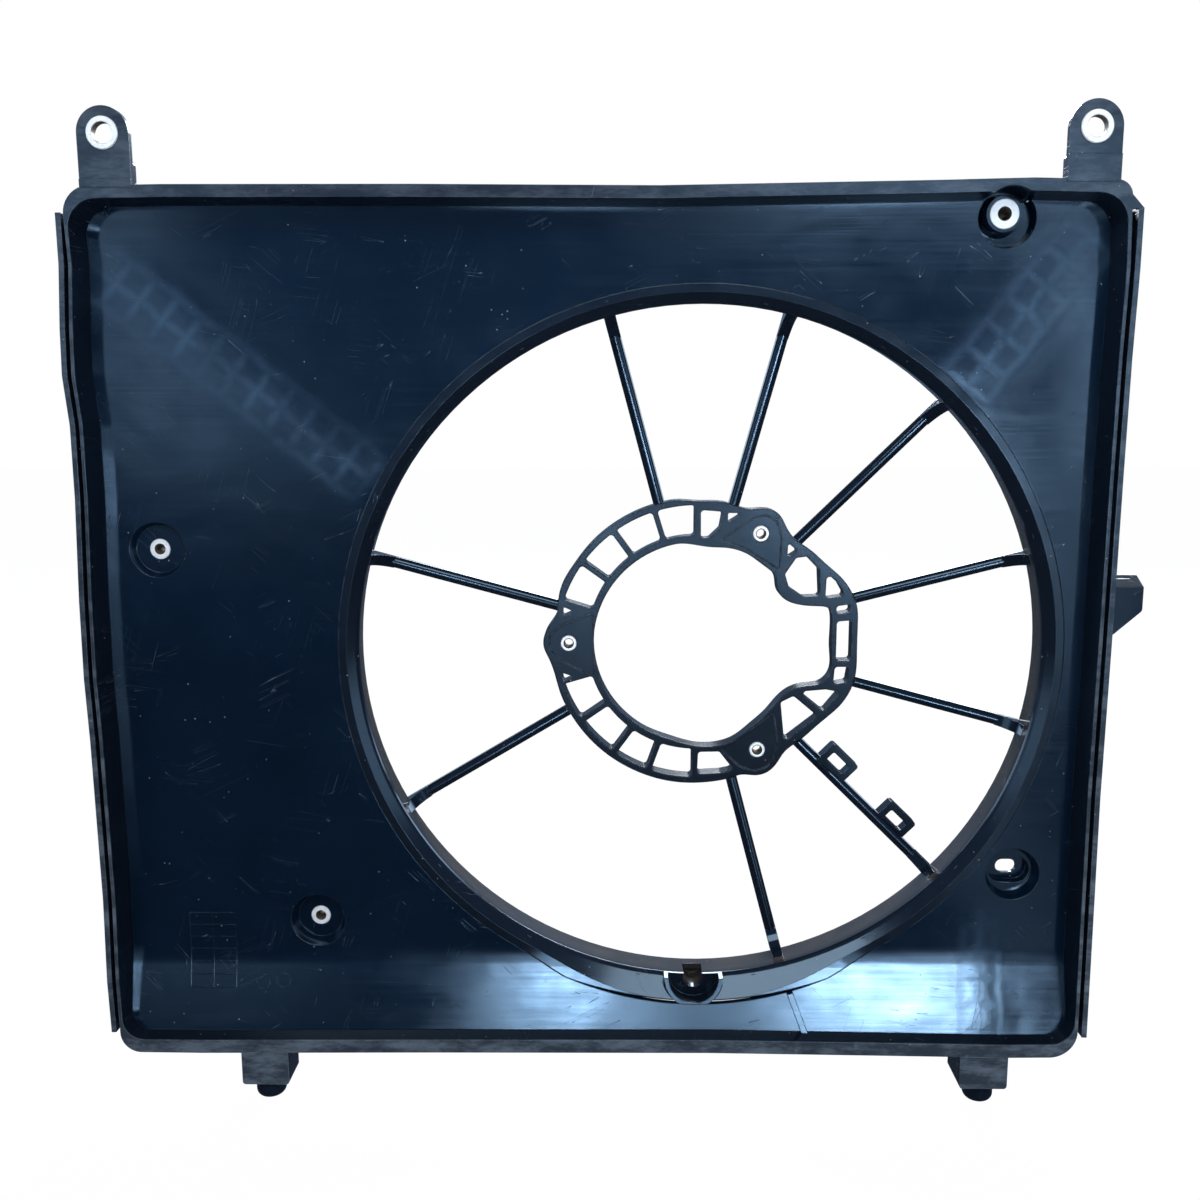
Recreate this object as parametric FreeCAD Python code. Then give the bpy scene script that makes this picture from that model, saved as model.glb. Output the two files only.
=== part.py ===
import FreeCAD, Part
import math
import os
from FreeCAD import Vector

os.makedirs("parts", exist_ok=True)

# Fan shroud of a radiator, seen from the radiator side.
# X runs to the right, Y runs rearwards with the air flow, Z runs up.
# The origin is on the fan axis, in the plane that the motor is bolted against.
# Depths are counted rearwards from the front plane of the rim. All sizes in mm.

# Depths
MOTOR_PLANE = 45.5
PANEL_PART_X = 25.0
PANEL_DEPTH = 16.0
PANEL_THICKNESS = 2.2
RAMP_TOP_Z = -150.0
RAMP_FOOT_DEPTH = 8.5
RAMP_BLEND_RADIUS = 60.0
FLANGE_THICKNESS = 3.0
RIM_DRAFT = 1.2

# Rim opening and the flanges around it
OPENING_LEFT = -278.6
OPENING_RIGHT = 180.6
OPENING_TOP = 205.6
OPENING_BOTTOM = -187.4
OPENING_CORNERS = (13.0, 13.0, 11.0, 10.0)
SIDE_WALL = 1.4
TOP_FLANGE = 5.3
BOTTOM_FLANGE = 6.5
RIM_CORNERS = (12.0, 7.0, 13.0, 10.0)
TRAY_WALL = 2.0

# Bow of the moulded edges: (position along the edge, offset)
TOP_BOW = ((-236.0, 0.5), (-128.0, 0.0), (-20.0, -1.2), (98.0, 0.3), (140.0, 1.1))
RIGHT_BOW = ((174.0, 1.1), (136.0, 0.2), (84.0, -0.2), (11.0, -0.4), (-64.0, -1.0), (-143.0, -0.3))
BOTTOM_BOW = ((150.0, -0.4), (90.0, 0.3), (6.0, 1.2), (-128.0, 0.6), (-240.0, -0.3))
LEFT_BOW = ((-157.0, -0.5), (-116.0, 0.4), (-37.0, -0.2), (-8.0, -1.0), (29.0, -0.6),
            (75.0, 0.9), (108.0, 1.0), (130.0, -0.9), (150.0, -0.4), (178.0, 1.2))

# Seal channels along both sides
CHANNEL_GROOVE = 2.0
CHANNEL_LIP = 2.3
CHANNEL_DEPTH = 11.0
CHANNEL_WEB = 2.0
CHANNEL_TOP_LEFT = 199.8
CHANNEL_TOP_RIGHT = 199.0
CHANNEL_BOTTOM = -183.6

# Fan ring
RING_RADIUS = 161.6
RING_WALL = 2.5
RING_MOUTH_DEPTH = 19.8
RING_REAR_DEPTH = 41.0
RING_TAPER = 2.4
RING_REAR_RADIUS = RING_RADIUS + RING_TAPER
MOUTH_SLOPE_RUN = 10.0
MOUTH_SLOPE_RISE = 7.8
RING_BEAD = 3.0
GUSSET_COUNT = 18
GUSSET_HEIGHT = 14.0
GUSSET_REACH = 10.0
GUSSET_WIDTH = 1.8

# Notch and half-round recess at the bottom of the ring
NOTCH_X = -1.3
NOTCH_RADIUS = 4.9
NOTCH_Z = -163.6
NOTCH_END_DEPTH = 34.0
RECESS_RADIUS = 12.4
RECESS_DROP = 0.9

# Stator arms: angle at the motor ring, angle at the fan ring
ARM_ANGLES = ((104.8, 105.0), (75.5, 75.1), (46.2, 45.4), (16.9, 15.5), (-13.4, -14.2),
              (-44.1, -44.4), (-74.8, -75.1), (-152.2, -150.6), (164.3, 164.4))
ARM_WIDTH = 5.4
ARM_FRONT_DEPTH = 39.2
ARM_FRONT_AT_MOTOR = 44.0
ARM_HEIGHT = 9.0
ARM_BACK_WIDTH = 3.0
ARM_NOSE_DEPTH = 3.6
ARM_ROOT_DEPTH = 24.5
ARM_ROOT_REACH = 10.0
ARM_START_RADIUS = 60.0

# Motor ring
MOTOR_BAND_FRONT = 44.7
MOTOR_BAND_REAR = 53.5
MOTOR_RING_OUTER = 71.7
MOTOR_RING_INNER = 50.4
MOTOR_BAND = 3.3
MOTOR_WEB = 2.7
MOTOR_HOLES = ((31.4, 54.4), (-62.8, 0.0), (31.4, -54.4))
WINDOW_ROUND = 1.6
WEB_ANGLES = ((89.8, 107.4), (107.4, 126.1), (126.1, 144.1), (144.1, 162.6),
              (-163.6, -145.2), (-145.2, -126.0), (-126.0, -109.6), (-109.6, -90.1))

# Threaded inserts, bushes and their seats
MOTOR_INSERT_OD = 7.9
M5_CORE = 4.2
M6_CORE = 5.2
BOSS_INSERT_OD = 9.7
TOWER_INSERT_OD = 13.2
INSERT_PROUD = 0.3
BOSS_INSERT_LENGTH = 10.0
BOSS_WALL = 3.0
CUP_WALL = 2.0
# Wells in the panel: x, z, mouth radius, floor radius, floor depth below the panel
WELL_LEFT = (-253.7, 50.2, 13.0, 11.2, 4.0)
WELL_LOWER_LEFT = (-185.5, -132.6, 13.3, 11.0, 6.0)
WELL_TOP_RIGHT = (134.1, 197.5, 12.9, 11.6, 6.0)
WELL_LOWER_RIGHT = (152.1, -107.7, 12.9, 10.9, 6.0)
TOWER_X = 131.8
TOWER_Z = 199.0
TOWER_FACE_DEPTH = 12.8
TOWER_TOP_RADIUS = 7.9
TOWER_FOOT_RADIUS = 9.6
SCALLOP_RADIUS = 12.6
SCALLOP_X = 131.6
SCALLOP_Z = 196.4
STEP_SLOT = (19.8, 13.2, 5.0)
THROUGH_SLOT = (10.0, 6.8)

# Mounting ears and their steel bushes
EAR_RADIUS = 11.3
EAR_THICKNESS = 3.2
EAR_HOLE_Z = 232.7
EAR_LEFT_X = -260.1
EAR_RIGHT_X = 165.2
EAR_ROOT_DEPTH = 6.2
EAR_ROOT_Z = 221.6
EAR_STEP = 0.6
BUSH_OD = 13.8
BUSH_BORE = 9.0
BUSH_LENGTH = 5.0

# Feet with locating pegs
FOOT_LEFT_X = -210.2
FOOT_RIGHT_X = 138.1
FOOT_WIDTH = 22.8
FOOT_LEFT_DEPTH = 18.0
FOOT_RIGHT_DEPTH = 21.5
FOOT_BOTTOM_Z = -210.6
FOOT_ROUND = 1.6
FOOT_WALL = 3.0
PEG_RADIUS = 7.2
PEG_DEPTH = 9.2
PEG_BOTTOM_Z = -220.0
PEG_NOSE = 3.5

# Loom loops on the sixth arm: start and end along the arm, reach from the arm axis
LOOM_LOOPS = ((84.5, 102.2, 12.6), (126.6, 144.3, 12.2))
LOOP_WALL = 3.4
LOOP_FRONT_DEPTH = 42.5
LOOP_REAR_DEPTH = 49.0

# Side bracket behind the right channel
BRACKET_PROUD = 21.3
BRACKET_TOP_Z = 37.8
BRACKET_BROW_Z = 33.2
BRACKET_SHOULDER_Z = 22.1
BRACKET_TOE = (8.7, 11.0)
BRACKET_REAR_DEPTH = 20.0
BRACKET_WALL = 2.0
BRACKET_SLIT = 0.9
BRACKET_SLIT_DEPTH = 17.2

# Ladder ribs behind the panel
RIB_WIDTH = 1.8
RIB_HEIGHT = 6.0

PANEL_BACK = PANEL_DEPTH + PANEL_THICKNESS
TOP_EDGE = OPENING_TOP + TOP_FLANGE
BOTTOM_EDGE = OPENING_BOTTOM - BOTTOM_FLANGE
LEFT_EDGE = OPENING_LEFT - SIDE_WALL
RIGHT_EDGE = OPENING_RIGHT + SIDE_WALL


def rounded_wire(points, depth):
    """Closed outline at one depth. Each point is (x, z) or (x, z, corner radius)."""
    count = len(points)
    corners = []
    for i in range(count):
        here = Vector(points[i][0], 0, points[i][1])
        radius = points[i][2] if len(points[i]) > 2 else 0.0
        if radius <= 0:
            corners.append((here, None, here))
            continue
        before = points[i - 1]
        after = points[(i + 1) % count]
        back = Vector(before[0], 0, before[1]).sub(here).normalize()
        ahead = Vector(after[0], 0, after[1]).sub(here).normalize()
        half = back.getAngle(ahead) / 2
        middle = back.add(ahead).normalize()
        reach = radius / math.tan(half)
        centre = here + middle * (radius / math.sin(half))
        corners.append((here + back * reach, centre - middle * radius, here + ahead * reach))
    edges = []
    for i in range(count):
        start, middle, end = corners[i]
        if middle is not None:
            edges.append(Part.Arc(start, middle, end).toShape())
        following = corners[(i + 1) % count][0]
        if following.distanceToPoint(end) > 1e-6:
            edges.append(Part.makeLine(end, following))
    wire = Part.Wire(edges)
    wire.translate(Vector(0, depth - MOTOR_PLANE, 0))
    return wire


def prism(points, front, rear):
    return Part.Face(rounded_wire(points, front)).extrude(Vector(0, rear - front, 0))


def cylinder(x, z, radius, front, rear):
    return Part.makeCylinder(radius, rear - front, Vector(x, front - MOTOR_PLANE, z), Vector(0, 1, 0))


def cone(x, z, front_radius, rear_radius, front, rear):
    return Part.makeCone(front_radius, rear_radius, rear - front,
                         Vector(x, front - MOTOR_PLANE, z), Vector(0, 1, 0))


def box(x0, x1, z0, z1, front, rear):
    return Part.makeBox(x1 - x0, rear - front, z1 - z0, Vector(x0, front - MOTOR_PLANE, z0))


def revolved(profile):
    """Solid of revolution about the fan axis from (radius, depth) points."""
    points = [Vector(r, d - MOTOR_PLANE, 0) for r, d in profile]
    face = Part.Face(Part.makePolygon(points + [points[0]]))
    return face.revolve(Vector(0, 0, 0), Vector(0, 1, 0), 360)


def polar(radius, angle):
    return radius * math.cos(math.radians(angle)), radius * math.sin(math.radians(angle))


def tray_points(left, right, top, bottom, corners):
    """Rim outline with the bowed edges, clockwise from the top left corner."""
    smooth = 25.0
    points = [(left, top, corners[0])]
    points += [(x, top + dz, smooth) for x, dz in TOP_BOW]
    points += [(right, top, corners[1])]
    points += [(right + dx, z, smooth) for z, dx in RIGHT_BOW]
    points += [(right, bottom, corners[2])]
    points += [(x, bottom + dz, smooth) for x, dz in BOTTOM_BOW]
    points += [(left, bottom, corners[3])]
    points += [(left + dx, z, smooth) for z, dx in LEFT_BOW]
    return points


def cavity(front, rear):
    """Space inside the rim walls, narrowing rearwards with the draft."""
    wires = []
    for depth in (front, rear):
        inset = RIM_DRAFT * depth / PANEL_DEPTH
        points = tray_points(OPENING_LEFT + inset, OPENING_RIGHT - inset,
                             OPENING_TOP - inset, OPENING_BOTTOM + inset, OPENING_CORNERS)
        wires.append(rounded_wire(points, depth))
    return Part.makeLoft(wires, True, True)


def panel_section(front_shift, rear_shift):
    """Section of the panel in depth and height, swept across the whole width."""
    slope = (PANEL_DEPTH - RAMP_FOOT_DEPTH) / (RAMP_TOP_Z - OPENING_BOTTOM)
    low_z = OPENING_BOTTOM - 20.0
    low_depth = RAMP_FOOT_DEPTH - slope * 20.0
    high_z = OPENING_TOP + 20.0
    front = [(PANEL_DEPTH + front_shift, high_z), (PANEL_DEPTH + front_shift, RAMP_TOP_Z, 1),
             (low_depth + front_shift, low_z)]
    rear = [(low_depth + rear_shift, low_z), (PANEL_DEPTH + rear_shift, RAMP_TOP_Z, 1),
            (PANEL_DEPTH + rear_shift, high_z)]
    edges = []
    for line in (front, rear):
        a, b, c = [Vector(LEFT_EDGE - 20, d[0] - MOTOR_PLANE, d[1]) for d in line]
        back = a.sub(b).normalize()
        ahead = c.sub(b).normalize()
        half = back.getAngle(ahead) / 2
        reach = RAMP_BLEND_RADIUS / math.tan(half)
        middle = back.add(ahead).normalize()
        bend = b + middle * (RAMP_BLEND_RADIUS / math.sin(half) - RAMP_BLEND_RADIUS)
        edges.append(Part.makeLine(a, b + back * reach))
        edges.append(Part.Arc(b + back * reach, bend, b + ahead * reach).toShape())
        edges.append(Part.makeLine(b + ahead * reach, c))
        last = c
        if line is front:
            edges.append(Part.makeLine(c, Vector(c.x, rear[0][0] - MOTOR_PLANE, low_z)))
    first = Vector(last.x, front[0][0] - MOTOR_PLANE, high_z)
    edges.append(Part.makeLine(last, first))
    face = Part.Face(Part.Wire(edges))
    return face.extrude(Vector(RIGHT_EDGE - LEFT_EDGE + 40, 0, 0))


def spline_wire(points, depth):
    nodes = [Vector(x, depth - MOTOR_PLANE, z) for x, z in points]
    curve = Part.BSplineCurve()
    curve.interpolate(nodes, PeriodicFlag=True)
    return Part.Wire(curve.toShape())


def save(shape, name):
    solid = shape.removeSplitter()
    if len(solid.Solids) == 1:
        solid = solid.Solids[0]
    solid.exportStep("parts/" + name + ".step")
    print(name, len(solid.Solids), round(solid.Volume), solid.isValid())
    return solid


# Fan ring: barrel, sloping mouth, rear bead and gussets
slope_end = (RING_RADIUS + MOUTH_SLOPE_RUN, RING_MOUTH_DEPTH - MOUTH_SLOPE_RISE)
slope_length = math.hypot(MOUTH_SLOPE_RUN, MOUTH_SLOPE_RISE)
normal = (MOUTH_SLOPE_RISE / slope_length * RING_WALL, MOUTH_SLOPE_RUN / slope_length * RING_WALL)
outer_radius = RING_RADIUS + RING_WALL
knee_depth = RING_MOUTH_DEPTH + normal[1] - (RING_WALL - normal[0]) * MOUTH_SLOPE_RISE / MOUTH_SLOPE_RUN
rear_outer = RING_REAR_RADIUS + RING_WALL
ring_profile = [
    (RING_REAR_RADIUS, RING_REAR_DEPTH),
    (RING_RADIUS, RING_MOUTH_DEPTH + 1.2),
    (RING_RADIUS + 0.45, RING_MOUTH_DEPTH + 0.1),
    (RING_RADIUS + 1.4, RING_MOUTH_DEPTH - 0.95),
    slope_end,
    (slope_end[0] + normal[0], slope_end[1] + normal[1]),
    (outer_radius, knee_depth),
    (rear_outer, RING_REAR_DEPTH - RING_BEAD),
    (rear_outer + RING_BEAD, RING_REAR_DEPTH - RING_BEAD),
    (rear_outer + RING_BEAD, RING_REAR_DEPTH),
]
ring_full = revolved(ring_profile)
ring_space = revolved([
    (0, -5), (slope_end[0] + 3 * normal[0], -5), (slope_end[0] + normal[0], slope_end[1] + normal[1]),
    (outer_radius, knee_depth), (outer_radius, 60), (0, 60)])
front_space = panel_section(-60, 0)
ring = ring_full.cut(front_space)
for i in range(GUSSET_COUNT):
    x, z = polar(1, i * 360.0 / GUSSET_COUNT)
    points = [(outer_radius - 0.5, PANEL_BACK),
              (outer_radius + GUSSET_REACH, PANEL_BACK),
              (outer_radius + 0.4, PANEL_BACK + GUSSET_HEIGHT),
              (outer_radius - 0.5, PANEL_BACK + GUSSET_HEIGHT)]
    side = Vector(-z, 0, x) * (GUSSET_WIDTH / 2)
    corners = [Vector(r * x, d - MOTOR_PLANE, r * z) - side for r, d in points]
    gusset = Part.Face(Part.makePolygon(corners + [corners[0]])).extrude(side * 2)
    ring = ring.fuse(gusset)
barrel_hole = revolved([
    (0, -5), (RING_RADIUS, -5), (RING_RADIUS, RING_MOUTH_DEPTH + 1.2),
    (RING_REAR_RADIUS, RING_REAR_DEPTH), (RING_REAR_RADIUS, 60), (0, 60)])
ring = ring.cut(barrel_hole)
recess_z = -RING_RADIUS + RECESS_DROP
below_mouth = box(NOTCH_X - 20, NOTCH_X + 20, -RING_RADIUS - 20, -RING_RADIUS + 6, -5, 40)
recess = cylinder(NOTCH_X, recess_z, RECESS_RADIUS, -5, RING_MOUTH_DEPTH).common(below_mouth)
recess_cup = cylinder(NOTCH_X, recess_z, RECESS_RADIUS + CUP_WALL, 0, RING_MOUTH_DEPTH + CUP_WALL)
recess_cup = recess_cup.common(below_mouth).cut(front_space).cut(barrel_hole)
notch = cylinder(NOTCH_X, NOTCH_Z, NOTCH_RADIUS, -5, NOTCH_END_DEPTH)
ring = ring.fuse(recess_cup).cut(recess).cut(notch)

# Panel: flat field, ramp at the bottom, wells for the inserts
tray = cavity(0.0, 60.0)
panel = panel_section(0, PANEL_THICKNESS)
wells = (WELL_LEFT, WELL_LOWER_LEFT, WELL_TOP_RIGHT, WELL_LOWER_RIGHT)
for x, z, mouth, floor, drop in wells:
    panel = panel.fuse(cone(x, z, mouth + CUP_WALL, floor + CUP_WALL, PANEL_DEPTH + 0.2,
                            PANEL_DEPTH + drop + CUP_WALL))
for x, z, mouth, floor, drop in wells:
    panel = panel.cut(cone(x, z, mouth, floor, PANEL_DEPTH, PANEL_DEPTH + drop))
    panel = panel.cut(cylinder(x, z, mouth, PANEL_DEPTH - 6, PANEL_DEPTH))
for x, z, mouth, floor, drop in (WELL_LEFT, WELL_LOWER_LEFT):
    start = PANEL_DEPTH + drop
    panel = panel.fuse(cylinder(x, z, BOSS_INSERT_OD / 2 + BOSS_WALL,
                                start, start + BOSS_INSERT_LENGTH + 1))
    panel = panel.cut(cylinder(x, z, BOSS_INSERT_OD / 2, start - 1, start + BOSS_INSERT_LENGTH))
    panel = panel.cut(cylinder(x, z, M5_CORE / 2, start, start + BOSS_INSERT_LENGTH + 2))
tower_foot = PANEL_DEPTH + WELL_TOP_RIGHT[4]
tower_rear = tower_foot + 8.0
tower = cone(TOWER_X, TOWER_Z, TOWER_TOP_RADIUS, TOWER_FOOT_RADIUS, TOWER_FACE_DEPTH, tower_foot + 1)
tower = tower.fuse(cylinder(TOWER_X, TOWER_Z, TOWER_TOP_RADIUS, tower_foot, tower_rear))
tower_bore = cylinder(TOWER_X, TOWER_Z, TOWER_INSERT_OD / 2, TOWER_FACE_DEPTH - 1, tower_rear - 1)
tower_bore = tower_bore.fuse(cylinder(TOWER_X, TOWER_Z, M6_CORE / 2, TOWER_FACE_DEPTH, tower_rear + 1))
x, z, mouth, floor, drop = WELL_LOWER_RIGHT
step_front = PANEL_DEPTH + drop
step_rear = step_front + STEP_SLOT[2]


def oval(x, z, width, height):
    radius = height / 2 - 0.01
    return [(x - width / 2, z + height / 2, radius), (x + width / 2, z + height / 2, radius),
            (x + width / 2, z - height / 2, radius), (x - width / 2, z - height / 2, radius)]


slot_back = step_rear + CUP_WALL
slot_cup = oval(x, z, STEP_SLOT[0] + 2 * CUP_WALL, STEP_SLOT[1] + 2 * CUP_WALL)
panel = panel.fuse(prism(slot_cup, step_front, slot_back))
panel = panel.cut(prism(oval(x, z, STEP_SLOT[0], STEP_SLOT[1]), step_front - 1, step_rear))
panel = panel.cut(prism(oval(x, z, THROUGH_SLOT[0], THROUGH_SLOT[1]), step_rear - 1, slot_back + 1))

# Rib on the ramp in line with the seventh arm
rib_foot = (44.6, -165.0)
rib_head = (52.6, OPENING_BOTTOM + 1.0)
along = Vector(rib_head[0] - rib_foot[0], 0, rib_head[1] - rib_foot[1]).normalize()
across = Vector(-along.z, 0, along.x) * 1.4
ramp_rib = panel_section(-1.8, 0.2)
rib_points = []
for base, sign in ((rib_foot, 1), (rib_head, 1), (rib_head, -1), (rib_foot, -1)):
    reach = Vector(base[0], 0, base[1]) + across * sign
    if base is rib_head:
        reach = reach + along * 4
    rib_points.append((reach.x, reach.z))
panel = panel.fuse(ramp_rib.common(prism(rib_points, -10, 40)))
panel = panel.common(tray).cut(ring_space).cut(recess).cut(notch)

# The top right well runs on into the rim: a round pocket that closes the scallop, and the whole tower
scallop = cylinder(SCALLOP_X, SCALLOP_Z, SCALLOP_RADIUS, -1, tower_foot)
pocket_room = cylinder(SCALLOP_X, SCALLOP_Z, SCALLOP_RADIUS + CUP_WALL,
                       FLANGE_THICKNESS, tower_foot + CUP_WALL)
pocket_room = pocket_room.common(box(SCALLOP_X - 20, SCALLOP_X + 20,
                                     OPENING_TOP - 6, TOP_EDGE - 0.4, 0, 40))
pocket = pocket_room.cut(tray).cut(scallop)
panel = panel.fuse(pocket).fuse(tower).cut(tower_bore)
ring = save(ring.cut(panel), "fan_ring")

# The panel is parted crosswise at the ring, so that no part of it bends round the opening
quarters = {
    "shroud_panel": (-400, PANEL_PART_X, 0, 400),
    "panel_upper_right": (PANEL_PART_X, 400, 0, 400),
    "panel_lower_left": (-400, PANEL_PART_X, -400, 0),
    "panel_lower_right": (PANEL_PART_X, 400, -400, 0),
}
for name, (x0, x1, z0, z1) in quarters.items():
    save(panel.common(box(x0, x1, z0, z1, -20, 80)), name)

# Rim: wall and flange all round, parted at the corners into four rails
outer = tray_points(LEFT_EDGE, RIGHT_EDGE, TOP_EDGE, BOTTOM_EDGE, RIM_CORNERS)
back_inset = RIM_DRAFT - TRAY_WALL
wall = tray_points(OPENING_LEFT + back_inset, OPENING_RIGHT - back_inset,
                   OPENING_TOP - back_inset, OPENING_BOTTOM + back_inset, OPENING_CORNERS)
rim = prism(outer, 0, FLANGE_THICKNESS).fuse(prism(wall, FLANGE_THICKNESS - 0.5, PANEL_BACK))
corner_plate = [(RIGHT_EDGE - 7.5, TOP_EDGE - 1), (RIGHT_EDGE - 5.0, TOP_EDGE - 0.4),
                (RIGHT_EDGE + 5.6, CHANNEL_TOP_RIGHT), (RIGHT_EDGE - 1, CHANNEL_TOP_RIGHT)]
rim = rim.fuse(prism(corner_plate, 0, FLANGE_THICKNESS))
rim = rim.cut(cavity(-2.0, 60.0))
rim = rim.cut(scallop).cut(pocket_room)
far = 60.0
inner = 50.0
corner_tl = (LEFT_EDGE, TOP_EDGE)
corner_tr = (RIGHT_EDGE, TOP_EDGE)
corner_br = (RIGHT_EDGE, BOTTOM_EDGE)
corner_bl = (LEFT_EDGE, BOTTOM_EDGE)
out_tl = (LEFT_EDGE - far, TOP_EDGE + far)
out_tr = (RIGHT_EDGE + far, TOP_EDGE + far)
out_br = (RIGHT_EDGE + far, BOTTOM_EDGE - far)
out_bl = (LEFT_EDGE - far, BOTTOM_EDGE - far)
in_tl = (LEFT_EDGE + inner, TOP_EDGE - inner)
in_tr = (RIGHT_EDGE - inner, TOP_EDGE - inner)
in_br = (RIGHT_EDGE - inner, BOTTOM_EDGE + inner)
in_bl = (LEFT_EDGE + inner, BOTTOM_EDGE + inner)
rails = {}
wedges = {
    "rim_top": [out_tl, out_tr, in_tr, in_tl],
    "rim_right": [out_tr, out_br, in_br, in_tr],
    "rim_bottom": [out_br, out_bl, in_bl, in_br],
    "rim_left": [out_bl, out_tl, in_tl, in_bl],
}
for name, wedge in wedges.items():
    rails[name] = save(rim.common(prism(wedge, -10, 60)), name)

# Seal channels: a lip standing off each side wall, joined by a web at the back of the groove


def channel(side, edge, bow, top):
    lip_out = side * (CHANNEL_GROOVE + CHANNEL_LIP)
    lip_in = side * CHANNEL_GROOVE
    stations = [(top, bow[0][1] if side > 0 else bow[-1][1])]
    stations += list(bow) if side > 0 else list(reversed(bow))
    stations += [(CHANNEL_BOTTOM, 0.0)]

    def strip(near, beyond):
        points = [(edge + near + dx, z, 20.0 if 0 < i < len(stations) - 1 else 0.0)
                  for i, (z, dx) in enumerate(stations)]
        points += [(edge + beyond + dx, z, 20.0 if 0 < i < len(stations) - 1 else 0.0)
                   for i, (z, dx) in reversed(list(enumerate(stations)))]
        return points

    lip = prism(strip(lip_in, lip_out), 0, CHANNEL_DEPTH)
    web = prism(strip(-side * 1.0, lip_out), CHANNEL_DEPTH - CHANNEL_WEB, CHANNEL_DEPTH)
    return lip.fuse(web)


channel_left = channel(-1, LEFT_EDGE, LEFT_BOW, CHANNEL_TOP_LEFT)
channel_right = channel(1, RIGHT_EDGE, RIGHT_BOW, CHANNEL_TOP_RIGHT)
for rail in rails.values():
    channel_left = channel_left.cut(rail)
    channel_right = channel_right.cut(rail)
channel_left = channel_left.cut(tray)
channel_right = channel_right.cut(tray)
save(channel_left, "seal_channel_left")
save(channel_right, "seal_channel_right")

# Motor ring: two bands, webs and three pads


def arc_points(radius, angles):
    return [polar(radius, a) for a in angles]


outer_points = arc_points(MOTOR_RING_OUTER, (100, 112, 124, 136, 148, 160))
outer_points += [(-68.9, 14.4), (-72.6, 8.6), (-75.0, 3.4), (-75.1, -2.0), (-72.9, -7.2), (-70.4, -13.6)]
outer_points += arc_points(MOTOR_RING_OUTER, (-160, -148, -136, -124, -112, -100))
outer_points += [
    (0.6, -71.5), (10.6, -70.6),
    (17.5, -69.1), (23.8, -67.2), (30.6, -67.5), (36.4, -66.0), (41.1, -61.5), (45.0, -55.4),
    (53.2, -48.8), (59.2, -43.3), (65.7, -37.5), (72.2, -31.3), (76.6, -24.6), (79.2, -16.7),
    (79.7, -3.2), (79.7, 10.2), (79.1, 18.5), (76.3, 25.6), (71.4, 32.5), (63.2, 39.8), (55.6, 46.5),
    (47.6, 52.3), (43.5, 58.0), (40.2, 63.7), (35.0, 66.6), (25.6, 66.5),
    (14.6, 69.6), (0.6, 70.4)]
inner_points = arc_points(MOTOR_RING_INNER, (102, 116, 130, 144, 158, 172, 186, 200, 214, 228, 242, 256))
inner_points += [
    (0.6, -52.4), (10.3, -52.3), (19.0, -49.6), (28.9, -41.8), (35.6, -35.6), (39.7, -30.5),
    (45.6, -24.8), (53.0, -21.8), (63.1, -19.7), (66.9, -15.1), (67.2, -3.3), (67.3, 10.8), (65.5, 17.3),
    (58.8, 18.7), (50.8, 19.4), (43.8, 21.9), (39.8, 26.8), (38.6, 33.3), (32.9, 38.8), (25.3, 44.2),
    (15.7, 47.4), (5.9, 48.0)]
outer_face = Part.Face(spline_wire(outer_points, MOTOR_BAND_FRONT))
inner_face = Part.Face(spline_wire(inner_points, MOTOR_BAND_FRONT - 2))
motor_depth = MOTOR_BAND_REAR - MOTOR_BAND_FRONT
motor_block = outer_face.extrude(Vector(0, motor_depth, 0))
motor_ring = motor_block.cut(inner_face.extrude(Vector(0, motor_depth + 4, 0)))


def sector(start, end, inner, outer):
    half = MOTOR_WEB / 2

    def corner(radius, angle, side):
        return arc_points(radius, (angle + side * math.degrees(math.asin(half / radius)),))[0]

    a = corner(inner, start, 1)
    b = corner(outer, start, 1)
    c = corner(outer, end, -1)
    d = corner(inner, end, -1)
    middle = (start + end) / 2
    y = MOTOR_BAND_FRONT - 1 - MOTOR_PLANE
    top = arc_points(outer, (middle,))[0]
    low = arc_points(inner, (middle,))[0]
    v = [Vector(p[0], y, p[1]) for p in (a, b, top, c, d, low)]
    edges = [Part.makeLine(v[0], v[1]), Part.Arc(v[1], v[2], v[3]).toShape(),
             Part.makeLine(v[3], v[4]), Part.Arc(v[4], v[5], v[0]).toShape()]
    solid = Part.Face(Part.Wire(edges)).extrude(Vector(0, motor_depth + 2, 0))
    upright = [e for e in solid.Edges
               if abs(e.Vertexes[0].Point.y - e.Vertexes[-1].Point.y) > motor_depth]
    return solid.makeFillet(WINDOW_ROUND, upright)


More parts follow.
